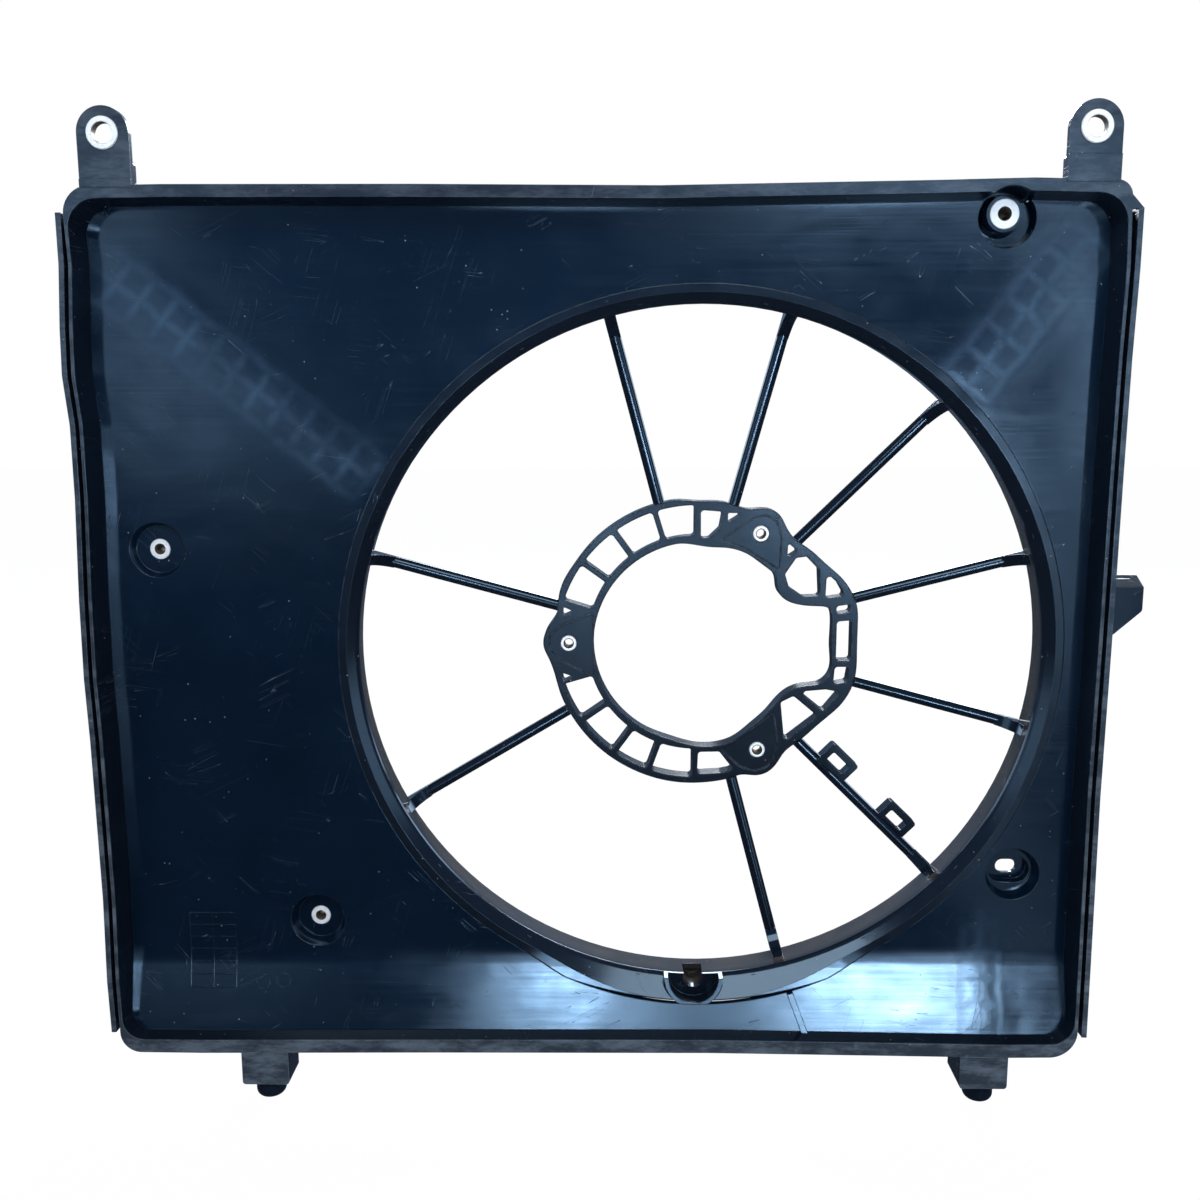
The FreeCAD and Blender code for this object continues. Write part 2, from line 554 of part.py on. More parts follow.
for start, end in WEB_ANGLES:
    gap = sector(start, end, MOTOR_RING_INNER + MOTOR_BAND, MOTOR_RING_OUTER - MOTOR_BAND)
    motor_ring = motor_ring.cut(gap)
windows = (
    [(2.0, 66.0), (12.6, 65.2), (11.2, 57.4), (6.2, 52.6), (2.1, 52.2)],
    [(15.2, 64.6), (22.4, 64.4), (15.2, 59.8)],
    [(44.6, 50.0), (49.4, 45.8), (44.4, 42.6)],
    [(48.8, 42.6), (53.9, 43.2), (60.0, 36.9), (60.8, 23.6), (52.4, 23.4), (45.4, 28.2), (43.4, 34.6)],
    [(63.8, 35.0), (69.6, 30.0), (73.2, 23.8), (63.4, 22.4)],
    [(68.9, 18.6), (75.4, 19.6), (76.4, 15.9), (69.2, 14.6)],
    [(69.4, 11.0), (76.9, 11.6), (76.9, -8.6), (69.4, -8.8)],
    [(69.0, -11.8), (76.4, -11.8), (75.2, -19.6), (68.4, -20.6)],
    [(51.4, -24.4), (64.8, -23.2), (72.0, -24.6), (64.0, -34.6)],
    [(42.6, -29.8), (48.9, -26.6), (61.2, -37.0), (44.8, -50.0)],
    [(1.8, -55.4), (12.4, -55.2), (19.8, -64.8), (12.9, -66.3), (1.4, -67.0)],
    [(-65.4, 18.4), (-60.0, 15.9), (-65.6, 13.4)],
    [(-66.4, -14.8), (-60.0, -17.0), (-65.4, -19.6)],
)
for window in windows:
    small = len(window) == 3
    points = [(x, z, 0.8 if small else WINDOW_ROUND) for x, z in window]
    motor_ring = motor_ring.cut(prism(points, MOTOR_BAND_FRONT - 1, MOTOR_BAND_REAR + 1))
pads = (
    [(11.4, 51.2, 1), (28.0, 62.4, 1), (33.9, 63.6, 4), (39.4, 60.0, 4),
     (41.4, 52.0, 1), (40.6, 36.8, 1), (33.6, 41.4, 1), (24.0, 47.4, 1)],
    [(-50.6, 15.2, 1), (-67.2, 8.6, 2), (-72.2, 3.6, 3),
     (-72.4, -2.4, 3), (-67.6, -8.0, 2), (-50.0, -17.0, 1)],
    [(12.6, -53.6, 1), (22.6, -62.8, 1), (29.8, -65.4, 4), (36.4, -63.4, 4), (40.4, -57.0, 2),
     (41.4, -50.0, 1), (39.4, -35.4, 1), (29.0, -43.4, 1), (19.2, -50.6, 1)],
)
for pad in pads:
    motor_ring = motor_ring.cut(prism(pad, MOTOR_BAND_FRONT - 1, MOTOR_PLANE))
for x, z in MOTOR_HOLES:
    seat = cylinder(x, z, MOTOR_INSERT_OD / 2, MOTOR_BAND_FRONT - 1, MOTOR_BAND_REAR + 1)
    motor_ring = motor_ring.cut(seat)
motor_ring = save(motor_ring, "motor_ring")

# Stator arms: round nosed bars with a thinner back, growing forwards into a root on the ring
arm_solids = []
arm_limit = outer_face.copy()
arm_limit.translate(Vector(0, -10, 0))
arm_limit = arm_limit.extrude(Vector(0, 30, 0))
for number, (inner_angle, outer_angle) in enumerate(ARM_ANGLES, 1):
    x0, z0 = polar(ARM_START_RADIUS, inner_angle)
    x1, z1 = polar(RING_RADIUS + 6, outer_angle)
    inner_end = Vector(x0, ARM_FRONT_AT_MOTOR - MOTOR_PLANE, z0)
    outer_end = Vector(x1, ARM_FRONT_DEPTH - MOTOR_PLANE, z1)
    run = outer_end.sub(inner_end)
    direction = Vector(run.x, 0, run.z).normalize()
    side = Vector(-direction.z, 0, direction.x)
    half = ARM_WIDTH / 2
    back = ARM_BACK_WIDTH / 2

    def place(across, behind):
        return inner_end + side * across + Vector(0, behind, 0)

    edges = [
        Part.Arc(place(-half, ARM_NOSE_DEPTH), place(0, 0), place(half, ARM_NOSE_DEPTH)).toShape(),
        Part.makeLine(place(half, ARM_NOSE_DEPTH), place(back, ARM_NOSE_DEPTH + 1.6)),
        Part.makeLine(place(back, ARM_NOSE_DEPTH + 1.6), place(back, ARM_HEIGHT)),
        Part.makeLine(place(back, ARM_HEIGHT), place(-back, ARM_HEIGHT)),
        Part.makeLine(place(-back, ARM_HEIGHT), place(-back, ARM_NOSE_DEPTH + 1.6)),
        Part.makeLine(place(-back, ARM_NOSE_DEPTH + 1.6), place(-half, ARM_NOSE_DEPTH)),
    ]
    bar = Part.Face(Part.Wire(edges)).extrude(run)
    wall_radius = RING_RADIUS + 1.0
    rear = ARM_FRONT_DEPTH + ARM_NOSE_DEPTH

    def on_root(radius, depth):
        behind = Vector(0, depth - ARM_FRONT_DEPTH, 0)
        return outer_end + direction * (radius - RING_RADIUS - 6) + behind - side * half

    tip = on_root(wall_radius - ARM_ROOT_REACH, rear - 2.5)
    hollow = on_root(wall_radius - 3.0, rear - 8.0)
    crown = on_root(wall_radius, ARM_ROOT_DEPTH)
    outside = on_root(wall_radius + 4, ARM_ROOT_DEPTH)
    heel = on_root(wall_radius + 4, rear)
    sole = on_root(wall_radius - ARM_ROOT_REACH, rear)
    root_edges = [
        Part.Arc(tip, hollow, crown).toShape(),
        Part.makeLine(crown, outside),
        Part.makeLine(outside, heel),
        Part.makeLine(heel, sole),
        Part.makeLine(sole, tip),
    ]
    root = Part.Face(Part.Wire(root_edges)).extrude(side * ARM_WIDTH)
    arm = bar.common(barrel_hole).cut(arm_limit)
    arm = max(arm.Solids, key=lambda s: s.Volume)
    arm = arm.fuse(root.common(barrel_hole)).removeSplitter()
    arm_solids.append(arm)
    save(arm, "stator_arm_%d" % number)

# Loom loops on the sixth arm
inner_angle, outer_angle = ARM_ANGLES[5]
x1, z1 = polar(RING_RADIUS, outer_angle)
x0, z0 = polar(ARM_START_RADIUS, inner_angle)
axis = Vector(x1 - x0, 0, z1 - z0).normalize()
away = Vector(-axis.z, 0, axis.x)
base = Vector(x1, 0, z1) - axis * RING_RADIUS


def on_arm(s, t):
    point = base + axis * s + away * t
    return point.x, point.z


for number, (start, end, reach) in enumerate(LOOM_LOOPS, 1):
    frame = [on_arm(start, 0) + (0,), on_arm(start, reach) + (1.5,),
             on_arm(end, reach) + (1.5,), on_arm(end, 0) + (0,)]
    low = ARM_WIDTH / 2 + 1.2
    high = reach - LOOP_WALL
    hole = [on_arm(start + LOOP_WALL, low) + (1.0,), on_arm(start + LOOP_WALL, high) + (1.0,),
            on_arm(end - LOOP_WALL, high) + (1.0,), on_arm(end - LOOP_WALL, low) + (1.0,)]
    loop = prism(frame, LOOP_FRONT_DEPTH, LOOP_REAR_DEPTH)
    loop = loop.cut(prism(hole, LOOP_FRONT_DEPTH - 1, LOOP_REAR_DEPTH + 1)).cut(arm_solids[5])
    loop = max(loop.Solids, key=lambda s: s.Volume)
    save(loop, "loom_loop_%d" % number)

# Ears with their bushes
for name, x, step_z in (("left", EAR_LEFT_X, 213.6), ("right", EAR_RIGHT_X, EAR_ROOT_Z)):
    low = OPENING_TOP + 1.0
    ear = box(x - EAR_RADIUS, x + EAR_RADIUS, low, EAR_HOLE_Z, 0, EAR_THICKNESS)
    ear = ear.fuse(cylinder(x, EAR_HOLE_Z, EAR_RADIUS, 0, EAR_THICKNESS))
    root = [(x - EAR_RADIUS, low), (x - EAR_RADIUS, EAR_ROOT_Z, 1.5),
            (x + EAR_RADIUS, EAR_ROOT_Z, 1.5), (x + EAR_RADIUS, low)]
    ear = ear.fuse(prism(root, EAR_THICKNESS - 1, EAR_ROOT_DEPTH))
    ear = ear.fuse(box(x - EAR_RADIUS, x + EAR_RADIUS, TOP_EDGE - 0.6, step_z, -EAR_STEP, 1.0))
    ear = ear.cut(cylinder(x, EAR_HOLE_Z, BUSH_OD / 2, -5, 20))
    for rail in rails.values():
        ear = ear.cut(rail)
    ear = ear.cut(tray)
    ear = max(ear.Solids, key=lambda s: s.Volume)
    save(ear, "ear_" + name)
    middle = EAR_THICKNESS / 2
    bush = cylinder(x, EAR_HOLE_Z, BUSH_OD / 2, middle - BUSH_LENGTH / 2, middle + BUSH_LENGTH / 2)
    bush = bush.cut(cylinder(x, EAR_HOLE_Z, BUSH_BORE / 2, -5, 20))
    save(bush, "ear_bush_" + name)

# Feet with pegs
feet = (("left", FOOT_LEFT_X, FOOT_LEFT_DEPTH), ("right", FOOT_RIGHT_X, FOOT_RIGHT_DEPTH))
for name, x, foot_depth in feet:
    high = OPENING_BOTTOM - 0.5
    half = FOOT_WIDTH / 2
    foot = prism([(x - half, high), (x + half, high), (x + half, FOOT_BOTTOM_Z, FOOT_ROUND),
                  (x - half, FOOT_BOTTOM_Z, FOOT_ROUND)], 0, foot_depth)
    pocket = box(x - half + FOOT_WALL, x + half - FOOT_WALL, FOOT_BOTTOM_Z + FOOT_WALL, high + 5,
                 FOOT_WALL, foot_depth + 1)
    foot = foot.cut(pocket)
    peg_y = PEG_DEPTH - MOTOR_PLANE
    peg = Part.makeCylinder(PEG_RADIUS, FOOT_BOTTOM_Z + 1 - PEG_BOTTOM_Z, Vector(x, peg_y, PEG_BOTTOM_Z))
    nose = [e for e in peg.Edges if abs(e.BoundBox.ZMax - PEG_BOTTOM_Z) < 0.01]
    peg = peg.makeFillet(PEG_NOSE, nose)
    foot = foot.fuse(peg)
    for rail in rails.values():
        foot = foot.cut(rail)
    foot = foot.cut(tray).cut(panel)
    foot = max(foot.Solids, key=lambda s: s.Volume)
    save(foot, "foot_" + name)

# Side bracket: a small hood with a sloping, slotted top, behind the right channel
bracket_inner = OPENING_RIGHT - RIM_DRAFT
bracket_outer = RIGHT_EDGE + BRACKET_PROUD
toe_x, toe_z = RIGHT_EDGE + BRACKET_TOE[0], BRACKET_TOE[1]
shell = [(bracket_inner, BRACKET_TOP_Z), (bracket_outer, BRACKET_TOP_Z),
         (bracket_outer, BRACKET_SHOULDER_Z, 2.0), (toe_x, toe_z, 1.0),
         (bracket_inner, toe_z)]
bracket = prism(shell, CHANNEL_DEPTH, BRACKET_REAR_DEPTH)
brow = [(CHANNEL_DEPTH, BRACKET_BROW_Z), (BRACKET_REAR_DEPTH, BRACKET_TOP_Z),
        (BRACKET_REAR_DEPTH, BRACKET_TOP_Z + 10), (CHANNEL_DEPTH, BRACKET_TOP_Z + 10)]
corners = [Vector(bracket_inner - 10, d - MOTOR_PLANE, z) for d, z in brow]
bracket = bracket.cut(Part.Face(Part.makePolygon(corners + [corners[0]])).extrude(Vector(60, 0, 0)))
hollow = [(RIGHT_EDGE + 2 * BRACKET_WALL, BRACKET_BROW_Z - 2 * BRACKET_WALL),
          (bracket_outer - BRACKET_WALL, BRACKET_BROW_Z - 2 * BRACKET_WALL),
          (bracket_outer - BRACKET_WALL, BRACKET_SHOULDER_Z + BRACKET_WALL),
          (toe_x, toe_z + 2 * BRACKET_WALL),
          (RIGHT_EDGE + 2 * BRACKET_WALL, toe_z + 2 * BRACKET_WALL)]
bracket = bracket.cut(prism(hollow, CHANNEL_DEPTH + BRACKET_WALL, BRACKET_REAR_DEPTH + 1))
slit = box(RIGHT_EDGE + 1, bracket_outer - 4, BRACKET_BROW_Z - 1.0, BRACKET_TOP_Z + 1,
           BRACKET_SLIT_DEPTH, BRACKET_SLIT_DEPTH + BRACKET_SLIT)
bracket = bracket.cut(slit).cut(channel_right)
for rail in rails.values():
    bracket = bracket.cut(rail)
bracket = bracket.cut(tray)
bracket = max(bracket.Solids, key=lambda s: s.Volume)
save(bracket, "side_bracket")

# Threaded inserts
for number, (x, z) in enumerate(MOTOR_HOLES, 1):
    insert = cylinder(x, z, MOTOR_INSERT_OD / 2, MOTOR_PLANE - INSERT_PROUD, MOTOR_BAND_REAR)
    insert = insert.cut(cylinder(x, z, M5_CORE / 2, MOTOR_PLANE - 2, MOTOR_BAND_REAR + 1))
    save(insert, "motor_insert_%d" % number)
for name, well in (("left", WELL_LEFT), ("lower_left", WELL_LOWER_LEFT)):
    x, z, mouth, floor, drop = well
    start = PANEL_DEPTH + drop
    insert = cylinder(x, z, BOSS_INSERT_OD / 2, start - INSERT_PROUD, start + BOSS_INSERT_LENGTH)
    insert = insert.cut(cylinder(x, z, M5_CORE / 2, start - 2, start + BOSS_INSERT_LENGTH + 1))
    save(insert, "boss_insert_" + name)
insert = cylinder(TOWER_X, TOWER_Z, TOWER_INSERT_OD / 2, TOWER_FACE_DEPTH - INSERT_PROUD, tower_rear - 1)
insert = insert.cut(cylinder(TOWER_X, TOWER_Z, M6_CORE / 2, TOWER_FACE_DEPTH - 2, tower_rear + 1))
save(insert, "boss_insert_top_right")

# Ladder ribs behind the panel: two long rails with rungs between them


def ladder(name, first, second, rungs):
    rail_lines = [first, second]
    bars = []

    def bar(p, q):
        d = Vector(q[0] - p[0], 0, q[1] - p[1])
        run = d.Length
        d.normalize()
        n = Vector(-d.z, 0, d.x) * (RIB_WIDTH / 2)
        a = Vector(p[0], 0, p[1]) - d * 0.6
        b = a + d * (run + 1.2)
        corners = [a + n, b + n, b - n, a - n]
        return prism([(c.x, c.z) for c in corners], PANEL_BACK, PANEL_BACK + RIB_HEIGHT)

    for p, q in rail_lines:
        bars.append(bar(p, q))
    def on_line(line, share):
        (x0, z0), (x1, z1) = line
        return x0 + share * (x1 - x0), z0 + share * (z1 - z0)

    for i in range(rungs + 1):
        bars.append(bar(on_line(first, i / rungs), on_line(second, i / rungs)))
    shape = bars[0]
    for other in bars[1:]:
        shape = shape.fuse(other)
    shape = shape.cut(ring)
    shape = max(shape.Solids, key=lambda s: s.Volume)
    save(shape, name)


ladder("rib_ladder_upper_left", ((-262.0, 186.0), (-160.0, 94.0)), ((-270.0, 158.0), (-176.0, 72.0)), 8)
ladder("rib_ladder_upper_right", ((150.0, 184.0), (116.0, 142.0)), ((174.0, 176.0), (136.0, 128.0)), 4)
ladder("rib_ladder_lower_right", ((130.0, -128.0), (130.0, -148.0)), ((164.0, -128.0), (164.0, -148.0)), 4)
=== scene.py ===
"""Looks of a radiator's fan shroud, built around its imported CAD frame.

Metres, +X to the right seen from the radiator side, +Y rearwards, +Z up.
Sizes of new pieces are in millimetres until surface() makes them metres, and
depths are counted rearwards from the front plane of the rim, as in the CAD.
"""

import math

import bmesh
import bpy
import numpy as np
from mathutils import Matrix, Vector


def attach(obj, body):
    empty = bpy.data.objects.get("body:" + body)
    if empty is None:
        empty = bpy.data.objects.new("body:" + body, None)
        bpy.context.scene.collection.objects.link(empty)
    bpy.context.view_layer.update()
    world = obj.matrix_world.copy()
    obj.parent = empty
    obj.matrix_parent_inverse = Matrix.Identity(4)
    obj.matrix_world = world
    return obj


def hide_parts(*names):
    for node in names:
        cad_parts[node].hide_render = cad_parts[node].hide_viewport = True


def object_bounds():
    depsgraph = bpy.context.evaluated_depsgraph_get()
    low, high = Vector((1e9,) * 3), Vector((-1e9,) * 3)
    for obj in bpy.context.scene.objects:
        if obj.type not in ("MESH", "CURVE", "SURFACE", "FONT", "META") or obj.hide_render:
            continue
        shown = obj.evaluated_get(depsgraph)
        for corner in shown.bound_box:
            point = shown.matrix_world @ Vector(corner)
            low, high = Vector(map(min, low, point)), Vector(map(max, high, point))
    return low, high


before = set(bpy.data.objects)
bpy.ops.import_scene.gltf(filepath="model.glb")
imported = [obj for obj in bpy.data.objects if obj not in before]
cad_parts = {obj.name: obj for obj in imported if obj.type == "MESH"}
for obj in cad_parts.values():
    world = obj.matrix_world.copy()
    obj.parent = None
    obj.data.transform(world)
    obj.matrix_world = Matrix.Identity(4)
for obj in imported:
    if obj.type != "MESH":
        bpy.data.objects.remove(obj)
cad_low, cad_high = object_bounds()

MM = 0.001

# Millimetres that the new pieces share with the CAD
RIM_FRONT = -45.5
PANEL_DEPTH = 16.0
RAMP_TOP_Z = -150.0
RAMP_SLOPE = 0.2005
RAMP_BLEND = 5.96
NOTCH_X, NOTCH_Z = -1.3, -163.6

# Trough behind the drain notch: bore, outer radius and pole, then front, floor and rear depths
TROUGH_BORE, TROUGH_OUTER, TROUGH_POLE = 5.0, 5.9, 0.2
TROUGH_FRONT, TROUGH_FLOOR, TROUGH_REAR = 21.8, 35.4, 36.3

# Blank grid on the panel: left end, top, gap between rails, gap between rungs
GRID_LEFT, GRID_TOP = -249.0, -129.0
RAIL_GAP, RAILS_IN_GRID = 11.3, 3
RUNG_GAP, RUNGS_IN_GRID = 6.2, 7
GRID_RIGHT = GRID_LEFT + RAIL_GAP * (RAILS_IN_GRID - 1)
GRID_BOTTOM = GRID_TOP - RUNG_GAP * (RUNGS_IN_GRID - 1)
GRID_BEAD = (0.16, 0.7)
RING_BEAD = (0.18, 0.6)
RING_MARK_RADIUS = 3.4
RING_MARKS = ((-213.3, -163.7), (-203.2, -163.0))

# Metal bushes and inserts, in millimetres:
# node, x, z, outer radius, bore radius, front depth, rear depth, knurls, thread pitch
SLEEVES = (
    ("ear_bush_left", -260.1, 232.7, 6.9, 4.5, -0.9, 4.1, 0, 0.0),
    ("ear_bush_right", 165.2, 232.7, 6.9, 4.5, -0.9, 4.1, 0, 0.0),
    ("motor_insert_1", 31.4, 54.4, 3.95, 2.1, 45.2, 53.5, 40, 0.8),
    ("motor_insert_2", -62.8, 0.0, 3.95, 2.1, 45.2, 53.5, 40, 0.8),
    ("motor_insert_3", 31.4, -54.4, 3.95, 2.1, 45.2, 53.5, 40, 0.8),
    ("boss_insert_left", -253.7, 50.2, 4.85, 2.1, 19.7, 30.0, 48, 0.8),
    ("boss_insert_lower_left", -185.5, -132.6, 4.85, 2.1, 21.7, 32.0, 48, 0.8),
    ("boss_insert_top_right", 131.8, 199.0, 6.6, 2.6, 12.5, 29.0, 60, 1.0),
)
OUTER_CHAMFER = 0.35
BUSH_LEAD, INSERT_LEAD = 0.3, 0.5

# Sink marks over the rib ladders, in metres:
# centre x, centre z, angle of the rails in degrees, half width, half length, rung pitch, strength
# of the painted pale reflection
SINK_LADDERS = (
    (-0.214, 0.131, -38.0, 0.012, 0.076, 0.0130, 0.55),
    (0.145, 0.157, 52.0, 0.012, 0.048, 0.0140, 0.75),
    (0.138, -0.160, 90.0, 0.008, 0.030, 0.0130, 0.30),
)

# Scratches: turn of the family in radians, stretch, width of a line, seed
SCRATCH_FAMILIES = (
    (0.45, 30.0, 0.0016, 0.3),
    (-0.75, 22.0, 0.0014, 1.7),
    (1.25, 26.0, 0.0014, 4.1),
    (-0.15, 34.0, 0.0013, 7.3),
)

# Dust: cells to the metre, size of a speck as a share of its cell
DUST_LAYERS = ((420.0, 0.16), (160.0, 0.07))

# Colours, linear
FLANGE_GREY = (0.085, 0.103, 0.125, 1.0)
# Painted brown light that the barrel's inner wall catches from brown surroundings
BOUNCE_BROWN = (0.040, 0.032, 0.024, 1.0)
# Pale grey of scratches and rubbed edges; on the edges it is also a painted highlight
RUBBED_AND_GLINT_GREY = (0.16, 0.18, 0.20, 1.0)
DUST_GREY = (0.30, 0.30, 0.28, 1.0)
# Painted pale-blue reflection over the sink marks
SINK_GLARE_BLUE = (0.045, 0.085, 0.140, 1.0)
STAIN_BROWN = (0.22, 0.20, 0.17, 1.0)
BLUE_MIRROR = (0.50, 0.74, 1.0, 1.0)
FLOOR_GREY = (0.86, 0.87, 0.88, 1.0)
WINDOW_BLUE = (0.76, 0.88, 1.0, 1.0)
WHITE = (1.0, 1.0, 1.0, 1.0)

# Bright windows of the room as the plastic mirrors them: azimuth and elevation of the centre,
# half width and half height of the full part, width and height of the soft edges, all in
# degrees, and the strength
WINDOWS = (
    (21.9, 1.0, 0.5, 1.5, 1.6, 3.0, 5.0),
    (21.4, -6.0, 0.3, 5.0, 1.5, 3.0, 2.6),
    (20.8, 5.5, 0.8, 0.5, 2.4, 2.4, 4.0),
    (19.5, -24.0, 1.5, 2.0, 2.5, 5.0, 0.7),
    (-21.5, 1.5, 1.2, 0.6, 4.0, 4.5, 2.0),
    (-17.5, -2.0, 1.6, 0.6, 5.0, 5.0, 0.8),
    (-24.5, 8.5, 2.5, 1.5, 3.0, 1.6, 2.0),
    (5.0, 8.8, 3.0, 0.3, 4.0, 2.0, 1.2),
    (14.0, 9.8, 5.0, 0.6, 5.0, 1.3, 6.0),
    (5.5, -4.6, 5.0, 0.3, 8.0, 2.4, 8.0),
    (1.0, -10.5, 4.0, 2.0, 6.0, 4.5, 3.0),
    (-2.6, -4.2, 0.6, 0.3, 3.4, 2.2, 52.0),
    (12.4, -4.3, 1.2, 0.3, 5.4, 2.4, 69.0),
    (-2.6, -8.0, 0.6, 1.0, 3.0, 7.0, 7.0),
    (13.5, -9.0, 1.0, 2.0, 3.0, 8.0, 9.0),
    (16.5, -15.0, 0.3, 1.0, 2.2, 6.0, 2.5),
    (60.0, 2.0, 7.0, 6.0, 9.0, 9.0, 2.0),
    (-62.0, 4.0, 7.0, 6.0, 9.0, 9.0, 1.6),
    (128.0, 16.0, 9.0, 8.0, 14.0, 12.0, 6.0),
    (-132.0, 14.0, 12.0, 8.0, 14.0, 12.0, 6.0),
)

# Dim light of the room from straight below (0) to straight above (1)
ROOM_STOPS = (
    (0.0, (0.05, 0.055, 0.065)),
    (0.38, (0.03, 0.04, 0.06)),
    (0.46, (0.06, 0.10, 0.16)),
    (0.53, (0.15, 0.24, 0.38)),
    (0.70, (0.14, 0.20, 0.30)),
    (1.0, (0.16, 0.20, 0.27)),
)


# Surfaces worked out with numpy


def surface(name, points, wrap_u=False, wrap_v=False):
    """Mesh object from a grid of points, rows by columns, in millimetres.

    A quad stands between each four neighbours. wrap_u joins the last row to the first,
    wrap_v the last column to the first.
    """
    rows, columns = points.shape[:2]
    u = np.arange(rows if wrap_u else rows - 1)
    v = np.arange(columns if wrap_v else columns - 1)
    a, b = np.meshgrid(u, v, indexing="ij")
    a2, b2 = (a + 1) % rows, (b + 1) % columns
    corners = [a * columns + b, a2 * columns + b, a2 * columns + b2, a * columns + b2]
    quads = np.stack(corners, -1).reshape(-1, 4)
    mesh = bpy.data.meshes.new(name)
    mesh.from_pydata((points.reshape(-1, 3) * MM).tolist(), [], quads.tolist())
    obj = bpy.data.objects.new(name, mesh)
    bpy.context.scene.collection.objects.link(obj)
    return obj


def outward(obj, sharp_degrees=35.0):
    """Closes doubles and open ends, turns the faces outwards and marks steep edges as sharp."""
    work = bmesh.new()
    work.from_mesh(obj.data)
    bmesh.ops.remove_doubles(work, verts=work.verts, dist=1e-6)
    bmesh.ops.holes_fill(work, edges=work.edges, sides=0)
    bmesh.ops.recalc_face_normals(work, faces=work.faces)
    work.to_mesh(obj.data)
    work.free()
    obj.data.shade_smooth()
    obj.data.set_sharp_from_angle(angle=math.radians(sharp_degrees))
    return obj


def turned_sleeve(name, x, z, radii, depths, knurls=0, thread=0.0):
    """Metal sleeve whose axis runs rearwards through (x, z), with painted shade in its bore: a
    darker metal there.

    The closed profile of radii and depths is carried round the axis by the angle a:
    x + r cos a, depth, z + r sin a. With knurls the outermost radii lose a fiftieth times
    |sin(knurls a / 2)|. With a thread pitch the innermost radii gain 0.3 pitch times a
    triangle wave of a / turn + depth / pitch, a helical groove.
    """
    count = 96
    angle = np.linspace(0, 2 * np.pi, count, endpoint=False)[:, None]
    r = np.array(radii, float)[None, :] * np.ones((count, 1))
    d = np.array(depths, float)[None, :] * np.ones((count, 1))
    if knurls:
        rim = r > r.max() - 0.01
        r = np.where(rim, r * (1 - 0.02 * np.abs(np.sin(knurls * angle / 2))), r)
    if thread:
        bore = r < r.min() + 0.01
        wave = np.abs(2 * ((angle / (2 * np.pi) + d / thread) % 1.0) - 1)
        r = np.where(bore, r + 0.3 * thread * wave, r)
    points = np.stack([x + r * np.cos(angle), RIM_FRONT + d, z + r * np.sin(angle)], -1)
    sleeve = outward(surface(name, points, wrap_u=True, wrap_v=True))
    sleeve.data.materials.append(ZINC)
    sleeve.data.materials.append(BORE_SHADE)
    centres = np.empty(3 * len(sleeve.data.polygons))
    sleeve.data.polygons.foreach_get("center", centres)
    centres = centres.reshape(-1, 3) / MM
    distance = np.hypot(centres[:, 0] - x, centres[:, 2] - z)
    inside = distance < np.min(radii) + (0.5 if thread else 0.0)
    sleeve.data.polygons.foreach_set("material_index", inside.astype(np.int32))
    return sleeve


def panel_depth(z):
    """Front of the panel at height z: flat, then a ramp of constant slope.

    Within one blend length of the ramp's top the depth falls by slope times
    (way into the blend)^2 / (4 blend), a parabola that meets both parts evenly.
    """
    below = RAMP_TOP_Z - z
    bend = np.clip(below + RAMP_BLEND, 0, 2 * RAMP_BLEND)
    straight = np.maximum(below - RAMP_BLEND, 0)
    return PANEL_DEPTH - RAMP_SLOPE * (bend ** 2 / (4 * RAMP_BLEND) + straight)


def raised_bead(name, x, z, height, width, closed=True):
    """Low round-topped bead on the panel along the line (x, z).

    Across the bead the offset runs from -1 to 1 half widths and the height is that of a half
    ellipse, so a point is line + across * offset, pushed forwards by height * sqrt(1 - offset^2).
    """
    x, z = np.asarray(x, float), np.asarray(z, float)
    if closed:
        tx, tz = np.roll(x, -1) - np.roll(x, 1), np.roll(z, -1) - np.roll(z, 1)
    else:
        tx, tz = np.gradient(x), np.gradient(z)
    size = np.hypot(tx, tz)
    nx, nz = -tz / size, tx / size
    phase = np.linspace(-np.pi / 2, np.pi / 2, 9)
    offset, lift = np.sin(phase), np.cos(phase)
    px = x[:, None] + nx[:, None] * offset * width / 2
    pz = z[:, None] + nz[:, None] * offset * width / 2
    depth = panel_depth(pz) + 0.02 - lift * height
    points = np.stack([px, RIM_FRONT + depth, pz], -1)
    return surface(name, points, wrap_u=closed, wrap_v=True)


def drain_trough():
    """Half a tube round the notch's axis, for the angle a from 186 to 354 degrees.

    A point is notch x + r cos a, depth, notch z + r sin a. Its profile runs back along the
    bore, down the closed end and forwards again a wall farther out.
    """
    inner, outer, pole = TROUGH_BORE, TROUGH_OUTER, TROUGH_POLE
    front, floor, rear = TROUGH_FRONT, TROUGH_FLOOR, TROUGH_REAR
    radii = np.array([inner, inner, pole, pole, outer, outer, inner])
    depths = np.array([front, floor, floor, rear, rear, front, front])
    angle = np.radians(np.linspace(186.0, 354.0, 40))[:, None]
    x = NOTCH_X + radii * np.cos(angle)
    z = NOTCH_Z + radii * np.sin(angle)
    points = np.stack([x, RIM_FRONT + depths + 0 * angle, z], -1)
    return outward(surface("drain_trough", points))


# Shader building


